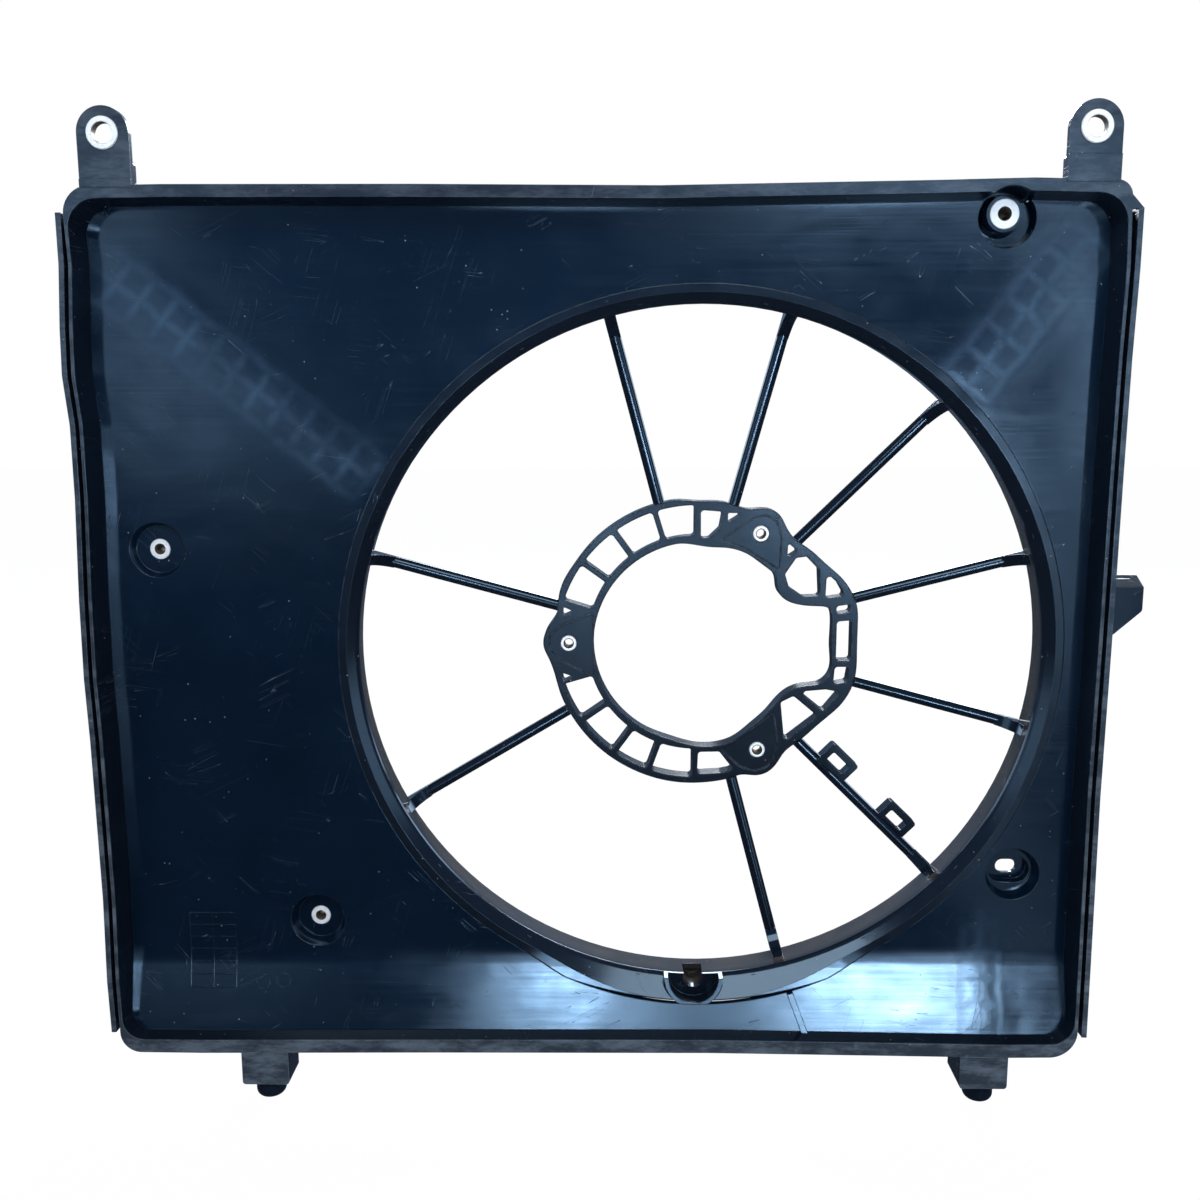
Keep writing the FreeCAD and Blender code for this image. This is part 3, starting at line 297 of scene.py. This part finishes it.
class Graph:
    """Short hand for adding and linking nodes in one node tree."""

    def __init__(self, tree):
        self.tree = tree

    def add(self, kind, **values):
        """New node of the kind, with its own settings."""
        node = self.tree.nodes.new(kind)
        for key, value in values.items():
            setattr(node, key, value)
        return node

    def put(self, node, **inputs):
        """Links or sets inputs: i3 is the fourth socket, Base_Color the one named Base Color."""
        for key, value in inputs.items():
            numbered = key[0] == "i" and key[1:].isdigit()
            socket = node.inputs[int(key[1:]) if numbered else key.replace("_", " ")]
            if isinstance(value, bpy.types.NodeSocket):
                self.tree.links.new(value, socket)
            else:
                socket.default_value = value
        return node

    def maths(self, operation, a, b=0.0, c=0.0, clamp=False):
        """Result of one Math node."""
        node = self.add("ShaderNodeMath", operation=operation, use_clamp=clamp)
        self.put(node, i0=a, i1=b, i2=c)
        return node.outputs[0]

    def gathered(self, operation, values):
        """Folds several values into one, pair by pair."""
        total = values[0]
        for value in values[1:]:
            total = self.maths(operation, total, value)
        return total

    def range(self, value, low, high, to_low=0.0, to_high=1.0, smooth=True):
        """Value carried from low..high to to_low..to_high, with soft or straight ends."""
        kind = "SMOOTHSTEP" if smooth else "LINEAR"
        node = self.add("ShaderNodeMapRange", interpolation_type=kind)
        self.put(node, i0=value, i1=low, i2=high, i3=to_low, i4=to_high)
        return node.outputs[0]

    def fade(self, value, full, gone):
        """1 up to full, 0 from gone on, and soft between them."""
        return self.range(value, full, gone, 1.0, 0.0)

    def mapped(self, vector, scale=(1, 1, 1), turn=(0, 0, 0), shift=(0, 0, 0)):
        """Vector scaled, turned and shifted."""
        node = self.add("ShaderNodeMapping")
        self.put(node, i0=vector, i1=shift, i2=turn, i3=scale)
        return node.outputs[0]

    def parts(self, vector):
        """Outputs X, Y and Z of a vector."""
        return self.put(self.add("ShaderNodeSeparateXYZ"), i0=vector).outputs

    def noise(self, vector, scale, detail=3.0, rough=0.5, distort=0.0):
        """Share from 0 to 1 of a noise texture."""
        node = self.add("ShaderNodeTexNoise")
        self.put(node, Vector=vector, Scale=scale, Detail=detail, Roughness=rough,
                 Distortion=distort)
        return node.outputs["Fac"]

    def mix(self, share, a, b):
        """Colour a turned into colour b by the share."""
        node = self.add("ShaderNodeMix", data_type="RGBA")
        self.put(node, i0=share, i6=a, i7=b)
        return node.outputs[2]

    def grouped(self, tree, **inputs):
        """Node group placed with its own values."""
        return self.put(self.add("ShaderNodeGroup", node_tree=tree), **inputs).outputs

    def bump(self, height, **normal):
        """Normal that stands for the height in metres."""
        node = self.add("ShaderNodeBump")
        return self.put(node, Strength=1.0, Distance=1.0, Height=height, **normal).outputs["Normal"]


def new_group(name, inputs, outputs):
    """Empty shader node group that takes a Vector, the named inputs and gives the named outputs."""
    tree = bpy.data.node_groups.new(name, "ShaderNodeTree")
    tree.interface.new_socket(name="Vector", in_out="INPUT", socket_type="NodeSocketVector")
    for label, value in inputs:
        socket = tree.interface.new_socket(
            name=label, in_out="INPUT", socket_type="NodeSocketFloat")
        socket.default_value = value
    for label in outputs:
        tree.interface.new_socket(name=label, in_out="OUTPUT", socket_type="NodeSocketFloat")
    graph = Graph(tree)
    return graph, graph.add("NodeGroupInput").outputs, graph.add("NodeGroupOutput")


def flow_group():
    """Slow waviness of a big moulding and the fine streaks along its flow."""
    g, given, out = new_group("moulding_flow", [("Streak", 1.0)], ["Height", "Gloss"])
    vector = given["Vector"]
    wave = g.noise(g.mapped(vector, (1.0, 1.0, 1.6)), 16.0, 2.0, 0.4, 0.6)
    streak = g.noise(g.mapped(vector, (5.0, 60.0, 260.0)), 2.2, 4.0, 0.65)
    grain = g.noise(vector, 1500.0, 2.0, 0.6)
    streak = g.maths("MULTIPLY", streak, given["Streak"])
    grained = g.maths("MULTIPLY_ADD", grain, 0.010, wave)
    height = g.maths("MULTIPLY_ADD", streak, 0.05, grained)
    cloud = g.maths("MULTIPLY", g.noise(vector, 60.0, 4.0), 0.5)
    gloss = g.maths("MULTIPLY_ADD", streak, 0.5, cloud)
    g.put(out, Height=height, Gloss=gloss)
    return g.tree


def scratch_group():
    """Thin scratches: narrow level lines of noises that are stretched along four directions."""
    g, given, out = new_group("fine_scratches", [("Amount", 0.5)], ["Mask"])
    vector = given["Vector"]
    families = []
    for turn, stretch, width, seed in SCRATCH_FAMILIES:
        turned = g.mapped(vector, turn=(0, turn, 0))
        drawn = g.mapped(turned, (3.0, 3.0, stretch * 3.0), shift=(seed, 0, seed))
        lines = g.noise(drawn, 2.0, 2.0, 0.5, 0.15)
        thin = g.fade(g.maths("ABSOLUTE", g.maths("SUBTRACT", lines, 0.5)), 0.0, width)
        spread = g.mapped(vector, (1, 1, 1), (0, turn, 0), (seed * 3, 1, 2))
        patch = g.noise(spread, 34.0, 3.0, 0.6)
        limit = g.maths("MULTIPLY_ADD", given["Amount"], -0.22, 0.72)
        kept = g.range(g.maths("SUBTRACT", patch, limit), 0.0, 0.05)
        families.append(g.maths("MULTIPLY", thin, kept))
    g.put(out, Mask=g.gathered("MAXIMUM", families))
    return g.tree


def dust_group():
    """Dust specks: small cells whose random value is high, smaller than the cell spacing."""
    g, given, out = new_group("dust_specks", [("Amount", 0.5)], ["Mask"])
    layers = []
    for scale, size in DUST_LAYERS:
        cells = g.add("ShaderNodeTexVoronoi", feature="F1")
        g.put(cells, Vector=given["Vector"], Scale=scale)
        spot = g.fade(cells.outputs["Distance"], size * 0.5, size)
        lot = g.put(g.add("ShaderNodeSeparateColor"), i0=cells.outputs["Color"]).outputs[0]
        limit = g.maths("MULTIPLY_ADD", given["Amount"], -0.16, 1.0)
        layers.append(g.maths("MULTIPLY", spot, g.range(lot, limit, 1.0)))
    g.put(out, Mask=g.gathered("MAXIMUM", layers))
    return g.tree


def wear_and_glint_group():
    """Worn edges, partly real rubbing and partly a painted highlight along them: the share of edge,
    broken up so that nicks and rubbed stretches alternate.
    """
    g, given, out = new_group("worn_and_glinting_edges", [("Edge", 0.0), ("Amount", 0.5)], ["Mask"])
    vector = given["Vector"]
    broad = g.range(g.noise(vector, 45.0, 3.0, 0.6), 0.42, 0.68)
    fine = g.range(g.noise(vector, 520.0, 3.0, 0.7), 0.38, 0.62)
    broken = g.maths("MULTIPLY_ADD", broad, 0.7, g.maths("MULTIPLY", fine, 0.5))
    mask = g.maths("MULTIPLY", given["Edge"], broken)
    g.put(out, Mask=g.maths("MULTIPLY", mask, given["Amount"], clamp=True))
    return g.tree


def ladder_group():
    """Sink marks over a ladder of ribs: shallow grooves where rails and rungs stand behind.

    The vector is centred on the ladder, its x along the rails.
    """
    sizes = [("Half Width", 0.012), ("Half Length", 0.07), ("Pitch", 0.015)]
    g, given, out = new_group("ladder_sink", sizes, ["Height", "Band"])
    split = g.parts(given["Vector"])
    along = split["X"]
    wobble = g.maths("MULTIPLY_ADD", g.noise(given["Vector"], 60.0, 2.0), 0.004, -0.002)
    wide = g.maths("ABSOLUTE", g.maths("ADD", split["Z"], wobble))
    past_rail = g.maths("SUBTRACT", wide, given["Half Width"])
    past_end = g.maths("SUBTRACT", g.maths("ABSOLUTE", along), given["Half Length"])
    from_rung = g.maths("PINGPONG", along, g.maths("MULTIPLY", given["Pitch"], 0.5))
    rail = g.fade(g.maths("ABSOLUTE", past_rail), 0.0, 0.0036)
    middle = g.range(wide, 0.0, 0.0034, 0.8, 0.0)
    rung = g.maths("MULTIPLY", g.fade(from_rung, 0.0, 0.0034), g.fade(past_rail, 0.0, 0.004))
    ends = g.fade(past_end, -0.01, 0.012)
    lines = g.maths("MULTIPLY", g.gathered("MAXIMUM", [rail, middle, rung]), ends)
    band = g.maths("MULTIPLY", g.fade(past_rail, -0.012, 0.012), ends)
    g.put(out, Height=lines, Band=band)
    return g.tree


FLOW = flow_group()
SCRATCH = scratch_group()
DUST = dust_group()
WEAR_GLINT = wear_and_glint_group()
LADDER = ladder_group()


def toned(base, factor):
    """Opaque colour of the base made darker or lighter by the factor."""
    return tuple(min(1.0, factor * c) for c in base) + (1.0,)


def new_material(name):
    """Material with its graph, its Principled shader and the Object coordinates."""
    material = bpy.data.materials.new(name)
    material.use_nodes = True
    g = Graph(material.node_tree)
    place = g.add("ShaderNodeTexCoord").outputs["Object"]
    return material, g, material.node_tree.nodes["Principled BSDF"], place


def flange_scuffs(g, place, colour):
    """Pale scuffs on the rim's front face, fainter towards the top."""
    split = g.parts(place)
    face = g.fade(split["Y"], -0.0452, -0.0444)
    cloud = g.noise(g.mapped(place, (1.0, 1.0, 3.0)), 38.0, 5.0, 0.7)
    scuffs = g.range(cloud, 0.40, 0.66, 0.25, 1.0)
    settled = g.maths("MULTIPLY", scuffs, g.range(split["Z"], -0.17, 0.10, 1.0, 0.50))
    return g.mix(g.maths("MULTIPLY", face, settled), colour, FLANGE_GREY)


def barrel_brown_bounce(g, place, colour):
    """Painted brown bounce light from brown surroundings, inside the barrel and behind the drain
    notch.
    """
    split = g.parts(place)
    squares = [g.maths("POWER", split[axis], 2.0) for axis in ("X", "Z")]
    inner = g.fade(g.maths("SQRT", g.gathered("ADD", squares)), 0.1650, 0.1655)
    behind = g.range(split["Y"], -0.0240, -0.0232)
    below = g.fade(split["Z"], -0.1640, -0.1632)
    beside = g.maths("ABSOLUTE", g.maths("SUBTRACT", split["X"], NOTCH_X * MM))
    notch = g.gathered("MULTIPLY", [behind, below, g.fade(beside, 0.0062, 0.0068)])
    inner = g.maths("MAXIMUM", inner, notch)
    rearwards = g.range(split["Y"], -0.026, -0.018)
    cloud = g.range(g.noise(place, 30.0, 4.0, 0.6), 0.25, 0.75, 0.55, 1.0)
    # Lays the painted brown light over the barrel's inside and the notch, stronger rearwards
    return g.mix(g.gathered("MULTIPLY", [inner, rearwards, cloud]), colour, BOUNCE_BROWN)


def sink_marks(g, place, colour, roughness, height):
    """Painted pale-blue reflection bands, also slightly duller, with grooves over each rib ladder
    behind the panel.
    """
    for x, z, angle, half_width, half_length, pitch, glare_strength in SINK_LADDERS:
        shifted = g.mapped(place, shift=(-x, 0, -z))
        local = g.mapped(shifted, turn=(0, math.radians(angle), 0))
        sink = g.grouped(LADDER, Vector=local, Half_Width=half_width,
                         Half_Length=half_length, Pitch=pitch)
        height = g.maths("MULTIPLY_ADD", sink["Height"], -0.000022, height)
        height = g.maths("MULTIPLY_ADD", sink["Band"], 0.00022, height)
        # pale: share of the painted reflection band, which also dulls the gloss
        pale = g.maths("MULTIPLY_ADD", sink["Height"], 0.6, 0.4)
        cloud = g.range(g.noise(place, 40.0, 4.0, 0.65), 0.35, 0.65, 0.35, 1.0)
        pale = g.gathered("MULTIPLY", [pale, sink["Band"], cloud])
        colour = g.mix(g.maths("MULTIPLY", pale, glare_strength), colour, SINK_GLARE_BLUE)
        roughness = g.maths("MULTIPLY_ADD", pale, 0.10, roughness)
    return colour, roughness, height


def plastic(name, base, rough, streak, scratch, dust, wear_and_glint,
            coat=None, ladders=False, waviness=1.0, sheen=0.5, corner=0.00045):
    """Black moulded polypropylene: dark body, gloss broken by flow streaks, scratches and dust.

    Corners are rounded over the length of corner, and where they bend the shade they turn pale
    grey: partly rubbed wear, partly a painted highlight.
    A coat is a function that lays one more colour over the body.
    """
    material, g, shader, place = new_material(name)
    flow = g.grouped(FLOW, Vector=place, Streak=streak)
    lines = g.grouped(SCRATCH, Vector=place, Amount=scratch)["Mask"]
    specks = g.grouped(DUST, Vector=place, Amount=dust)["Mask"]
    rounded = g.put(g.add("ShaderNodeBevel", samples=4), Radius=corner).outputs["Normal"]
    true_normal = g.add("ShaderNodeNewGeometry").outputs["True Normal"]
    bend = g.add("ShaderNodeVectorMath", operation="DOT_PRODUCT")
    g.put(bend, i0=rounded, i1=true_normal)
    edge = g.fade(bend.outputs["Value"], 0.80, 0.995)
    # Edge mask for rubbed wear and for a painted highlight along the edges
    worn_and_glint = g.grouped(WEAR_GLINT, Vector=place, Edge=edge, Amount=wear_and_glint)["Mask"]

    colour = g.mix(g.noise(place, 22.0, 4.0, 0.6), toned(base, 0.75), toned(base, 2.0))
    if coat:
        colour = coat(g, place, colour)
    # Pale grey of scratches and worn edges, the edges' share also a painted highlight
    scratch_rub_and_glint = g.maths("MAXIMUM", g.maths("MULTIPLY", lines, 0.38), g.maths("MULTIPLY", worn_and_glint, 0.8))
    colour = g.mix(scratch_rub_and_glint, colour, RUBBED_AND_GLINT_GREY)
    colour = g.mix(g.maths("MULTIPLY", specks, 0.7), colour, DUST_GREY)

    roughness = g.range(flow["Gloss"], 0.3, 0.75, rough - 0.05, rough + 0.07, smooth=False)
    dull = g.maths("MULTIPLY", g.maths("MAXIMUM", scratch_rub_and_glint, specks), 0.6)
    roughness = g.maths("MAXIMUM", roughness, dull)
    height = g.maths("MULTIPLY", flow["Height"], 0.00022 * waviness)
    height = g.maths("MULTIPLY_ADD", lines, -0.00003, height)
    if ladders:
        colour, roughness, height = sink_marks(g, place, colour, roughness, height)

    normal = g.bump(height, Normal=rounded)
    g.put(shader, Base_Color=colour, Roughness=roughness, Normal=normal)
    shader.inputs["IOR"].default_value = 1.5
    shader.inputs["Specular IOR Level"].default_value = sheen
    shader.inputs["Specular Tint"].default_value = BLUE_MIRROR
    return material


def metal(name, base, rough):
    """Zinc plated steel: faint grey mottling, fine grain and a few dark stains."""
    material, g, shader, place = new_material(name)
    mottle = g.noise(place, 900.0, 4.0, 0.6)
    stain = g.range(g.noise(place, 260.0, 4.0, 0.7), 0.55, 0.75)
    colour = g.mix(mottle, toned(base, 0.85), toned(base, 1.1))
    colour = g.mix(g.maths("MULTIPLY", stain, 0.5), colour, STAIN_BROWN)
    roughness = g.range(mottle, 0.2, 0.8, rough - 0.08, rough + 0.1)
    normal = g.bump(g.maths("MULTIPLY", g.noise(place, 2600.0, 3.0, 0.6), 0.00004))
    g.put(shader, Base_Color=colour, Roughness=roughness, Normal=normal)
    shader.inputs["Metallic"].default_value = 0.45
    return material


PANEL_PLASTIC = plastic("panel_plastic", (0.0012, 0.0046, 0.0112), 0.13, 1.0, 0.7, 0.35, 0.4,
                        ladders=True)
RIM_PLASTIC = plastic("rim_plastic", (0.003, 0.0055, 0.010), 0.22, 0.4, 0.7, 0.5, 1.0,
                      coat=flange_scuffs)
RING_PLASTIC = plastic("ring_plastic", (0.003, 0.005, 0.009), 0.17, 0.5, 0.4, 0.5, 0.5,
                       coat=barrel_brown_bounce)
ARM_PLASTIC = plastic("arm_plastic", (0.003, 0.005, 0.009), 0.14, 0.2, 0.4, 0.5, 0.6,
                      waviness=0.5)
MOUNT_PLASTIC = plastic("mount_plastic", (0.003, 0.0045, 0.008), 0.24, 0.5, 0.5, 0.5, 1.0,
                        sheen=0.18, corner=0.0011)
ZINC = metal("zinc_plate", (0.90, 0.91, 0.92), 0.36)
# Painted shade for the inside of the bores
BORE_SHADE = metal("shaded_bore", (0.10, 0.08, 0.06), 0.45)


# The panel's quarters as one moulding, and the four rails as one frame


def joined(name, nodes):
    """One solid from CAD nodes that meet face to face, so that no parting line shows."""
    parts = []
    for node in nodes:
        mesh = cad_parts[node].data.copy()
        work = bmesh.new()
        work.from_mesh(mesh)
        bmesh.ops.remove_doubles(work, verts=work.verts, dist=1.5e-6)
        work.to_mesh(mesh)
        work.free()
        if "custom_normal" in mesh.attributes:
            mesh.attributes.remove(mesh.attributes["custom_normal"])
        parts.append(bpy.data.objects.new(node + "_copy", mesh))
    tools = bpy.data.collections.new(name + "_tools")
    bpy.context.scene.collection.children.link(tools)
    bpy.context.scene.collection.objects.link(parts[0])
    for part in parts[1:]:
        tools.objects.link(part)
    union = parts[0].modifiers.new("union", "BOOLEAN")
    union.operation, union.operand_type = "UNION", "COLLECTION"
    union.collection, union.solver = tools, "MANIFOLD"
    depsgraph = bpy.context.evaluated_depsgraph_get()
    mesh = bpy.data.meshes.new_from_object(parts[0].evaluated_get(depsgraph))
    for part in parts:
        bpy.data.objects.remove(part)
    bpy.data.collections.remove(tools)
    obj = bpy.data.objects.new(name, mesh)
    bpy.context.scene.collection.objects.link(obj)
    outward(obj, 25.0)
    obj.modifiers.new("weighted", "WEIGHTED_NORMAL").keep_sharp = True
    return obj


QUARTERS = ("shroud_panel", "panel_upper_right", "panel_lower_left", "panel_lower_right")
RAILS = ("rim_top", "rim_right", "rim_bottom", "rim_left")
for name, nodes, finish in (
    ("panel_moulding", QUARTERS, PANEL_PLASTIC),
    ("rim_frame", RAILS, RIM_PLASTIC),
):
    moulding = joined(name, nodes)
    moulding.data.materials.clear()
    moulding.data.materials.append(finish)
    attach(moulding, "root")
    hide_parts(*nodes)

# Metal bushes and inserts
for node, x, z, outer_r, bore_r, front, rear, knurls, pitch in SLEEVES:
    lead = INSERT_LEAD if knurls else BUSH_LEAD
    steps = np.linspace(front + lead, rear - lead, 64 if pitch else 4)
    mouth, shoulder = bore_r + lead, outer_r - OUTER_CHAMFER
    radii = [mouth, shoulder, outer_r, outer_r, shoulder, mouth] + [bore_r] * len(steps)
    depths = [front, front, front + OUTER_CHAMFER, rear - OUTER_CHAMFER, rear, rear]
    depths += list(steps[::-1])
    sleeve = turned_sleeve(node + "_turned", x, z, radii, depths, knurls, pitch)
    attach(sleeve, "root")
    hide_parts(node)

# Trough that carries the ring's drain notch rearwards under the barrel
trough = drain_trough()
trough.data.materials.append(RING_PLASTIC)
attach(trough, "root")

# Raised marks on the panel: a blank clock grid and two small rings
marks = []
for i in range(RUNGS_IN_GRID):
    x, z = np.linspace(GRID_LEFT, GRID_RIGHT, 24), np.full(24, GRID_TOP - i * RUNG_GAP)
    marks.append(raised_bead("grid_rung_%d" % (i + 1), x, z, *GRID_BEAD, closed=False))
for i in range(RAILS_IN_GRID):
    x, z = np.full(40, GRID_LEFT + i * RAIL_GAP), np.linspace(GRID_TOP, GRID_BOTTOM, 40)
    marks.append(raised_bead("grid_rail_%d" % (i + 1), x, z, *GRID_BEAD, closed=False))
a = np.linspace(0, 2 * np.pi, 48, endpoint=False)
for i, (x, z) in enumerate(RING_MARKS):
    x, z = x + RING_MARK_RADIUS * np.cos(a), z + RING_MARK_RADIUS * np.sin(a)
    marks.append(raised_bead("mark_ring_%d" % (i + 1), x, z, *RING_BEAD))
for mark in marks:
    outward(mark)
    mark.data.materials.append(PANEL_PLASTIC)
    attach(mark, "root")

# Finishes of the CAD nodes that stay, by the first letters of their names
FINISHES = (
    (("stator_arm", "loom_loop"), ARM_PLASTIC),
    (("motor_ring",), MOUNT_PLASTIC),
    (("seal_channel", "ear_", "foot_", "side_bracket"), RIM_PLASTIC),
    (("fan_ring",), RING_PLASTIC),
    (("rib_ladder",), PANEL_PLASTIC),
)
replaced = QUARTERS + RAILS + tuple(row[0] for row in SLEEVES)
for name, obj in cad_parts.items():
    for starts, finish in FINISHES:
        if name.startswith(starts) and name not in replaced:
            obj.data.materials.clear()
            obj.data.materials.append(finish)

# Camera at the photograph's place
RIGHT = (0.9998674, 0.016037, -0.0028358)
UP = (0.0002357, 0.1598588, 0.9871399)
BACK = (0.0162841, -0.9870096, 0.1598338)
STAND = (-0.0375702, -0.5833326, 0.1161478)
camera = bpy.data.objects.new("camera", bpy.data.cameras.new("camera"))
bpy.context.scene.collection.objects.link(camera)
camera.matrix_world = Matrix(list(zip(RIGHT, UP, BACK, STAND)) + [(0, 0, 0, 1)])
camera.data.sensor_width = 36.0
camera.data.lens = 35.984
camera.data.clip_start, camera.data.clip_end = 0.01, 50.0
bpy.context.scene.camera = camera


# Stage: pale floor, soft boxes and a dim room with a white backdrop


def pale_floor():
    """Square floor just under the part, pale to the light and near white to the camera."""
    side = 6.0
    mesh = bpy.data.meshes.new("floor")
    z = cad_low.z - 0.0002
    corners = [(-side, -side, z), (side, -side, z), (side, side, z), (-side, side, z)]
    mesh.from_pydata(corners, [], [(0, 1, 2, 3)])
    floor = bpy.data.objects.new("floor", mesh)
    bpy.context.scene.collection.objects.link(floor)
    material = bpy.data.materials.new("pale_floor")
    material.use_nodes = True
    g = Graph(material.node_tree)
    g.tree.nodes.clear()
    matt = g.put(g.add("ShaderNodeBsdfDiffuse"), Color=FLOOR_GREY)
    glow = g.put(g.add("ShaderNodeEmission"), Color=WHITE, Strength=1.0)
    seen = g.maths("MULTIPLY", g.add("ShaderNodeLightPath").outputs["Is Camera Ray"], 0.985)
    both = g.put(g.add("ShaderNodeMixShader"), i0=seen, i1=matt.outputs[0], i2=glow.outputs[0])
    g.put(g.add("ShaderNodeOutputMaterial"), Surface=both.outputs[0])
    mesh.materials.append(material)
    floor.visible_glossy = False
    return floor


def soft_box(name, place, width, height, watts, colour):
    """Area light at the place, turned towards the middle of the fan's opening."""
    light = bpy.data.lights.new(name, "AREA")
    light.shape, light.size, light.size_y = "RECTANGLE", width, height
    light.energy, light.color = watts, colour
    obj = bpy.data.objects.new(name, light)
    bpy.context.scene.collection.objects.link(obj)
    turn = (-Vector(place)).to_track_quat("-Z", "Y").to_matrix().to_4x4()
    obj.matrix_world = Matrix.Translation(place) @ turn
    obj.visible_camera = False
    return obj


def room():
    """Dim room with the table's bright windows, which only mirrors and light see.

    Azimuth 0 looks from the part towards the radiator side. A slow noise shifts it by up to
    two and a half degrees, so that the windows' sides are not ruled lines.
    """
    world = bpy.data.worlds.new("room")
    bpy.context.scene.world = world
    world.use_nodes = True
    g = Graph(world.node_tree)
    g.tree.nodes.clear()
    direction = g.add("ShaderNodeTexCoord").outputs["Generated"]
    split = g.parts(direction)
    ramp = g.add("ShaderNodeValToRGB")
    while len(ramp.color_ramp.elements) < len(ROOM_STOPS):
        ramp.color_ramp.elements.new(0.5)
    for element, (place, colour) in zip(ramp.color_ramp.elements, ROOM_STOPS):
        element.position = place
        element.color = colour + (1.0,)
    g.put(ramp, i0=g.range(split["Z"], -1.0, 1.0, smooth=False))
    azimuth = g.maths("ARCTAN2", split["X"], g.maths("MULTIPLY", split["Y"], -1.0))
    elevation = g.maths("ARCSINE", split["Z"])
    ripple = g.noise(direction, 9.0, 3.0, 0.55)
    centred = g.maths("SUBTRACT", azimuth, math.radians(2.5))
    azimuth = g.maths("MULTIPLY_ADD", ripple, math.radians(5.0), centred)
    windows = []
    for *angles, strength in WINDOWS:
        az, el, wide, high, soft_wide, soft_high = (math.radians(angle) for angle in angles)
        across = g.maths("ABSOLUTE", g.maths("SUBTRACT", azimuth, az))
        along = g.maths("ABSOLUTE", g.maths("SUBTRACT", elevation, el))
        windows.append(g.maths(
            "MULTIPLY",
            g.range(across, wide, wide + soft_wide, strength, 0.0),
            g.fade(along, high, high + soft_high),
        ))
    total = g.gathered("ADD", windows)
    dim = g.put(g.add("ShaderNodeBackground"), Color=ramp.outputs[0], Strength=1.0)
    lit = g.put(g.add("ShaderNodeBackground"), Color=WINDOW_BLUE, Strength=total)
    around = g.put(g.add("ShaderNodeAddShader"), i0=dim.outputs[0], i1=lit.outputs[0])
    white = g.put(g.add("ShaderNodeBackground"), Color=WHITE, Strength=1.0)
    seen = g.add("ShaderNodeLightPath").outputs["Is Camera Ray"]
    both = g.put(g.add("ShaderNodeMixShader"), i0=seen, i1=around.outputs[0], i2=white.outputs[0])
    g.put(g.add("ShaderNodeOutputWorld"), Surface=both.outputs[0])


pale_floor()
room()
soft_box("overhead_box", (-0.1, -1.3, 1.3), 1.4, 0.7, 24.0, (1.0, 1.0, 1.0))
soft_box("rear_box", (0.5, 1.4, 1.0), 1.2, 0.8, 70.0, (0.94, 0.97, 1.0))
bpy.context.scene.view_settings.view_transform = "Standard"
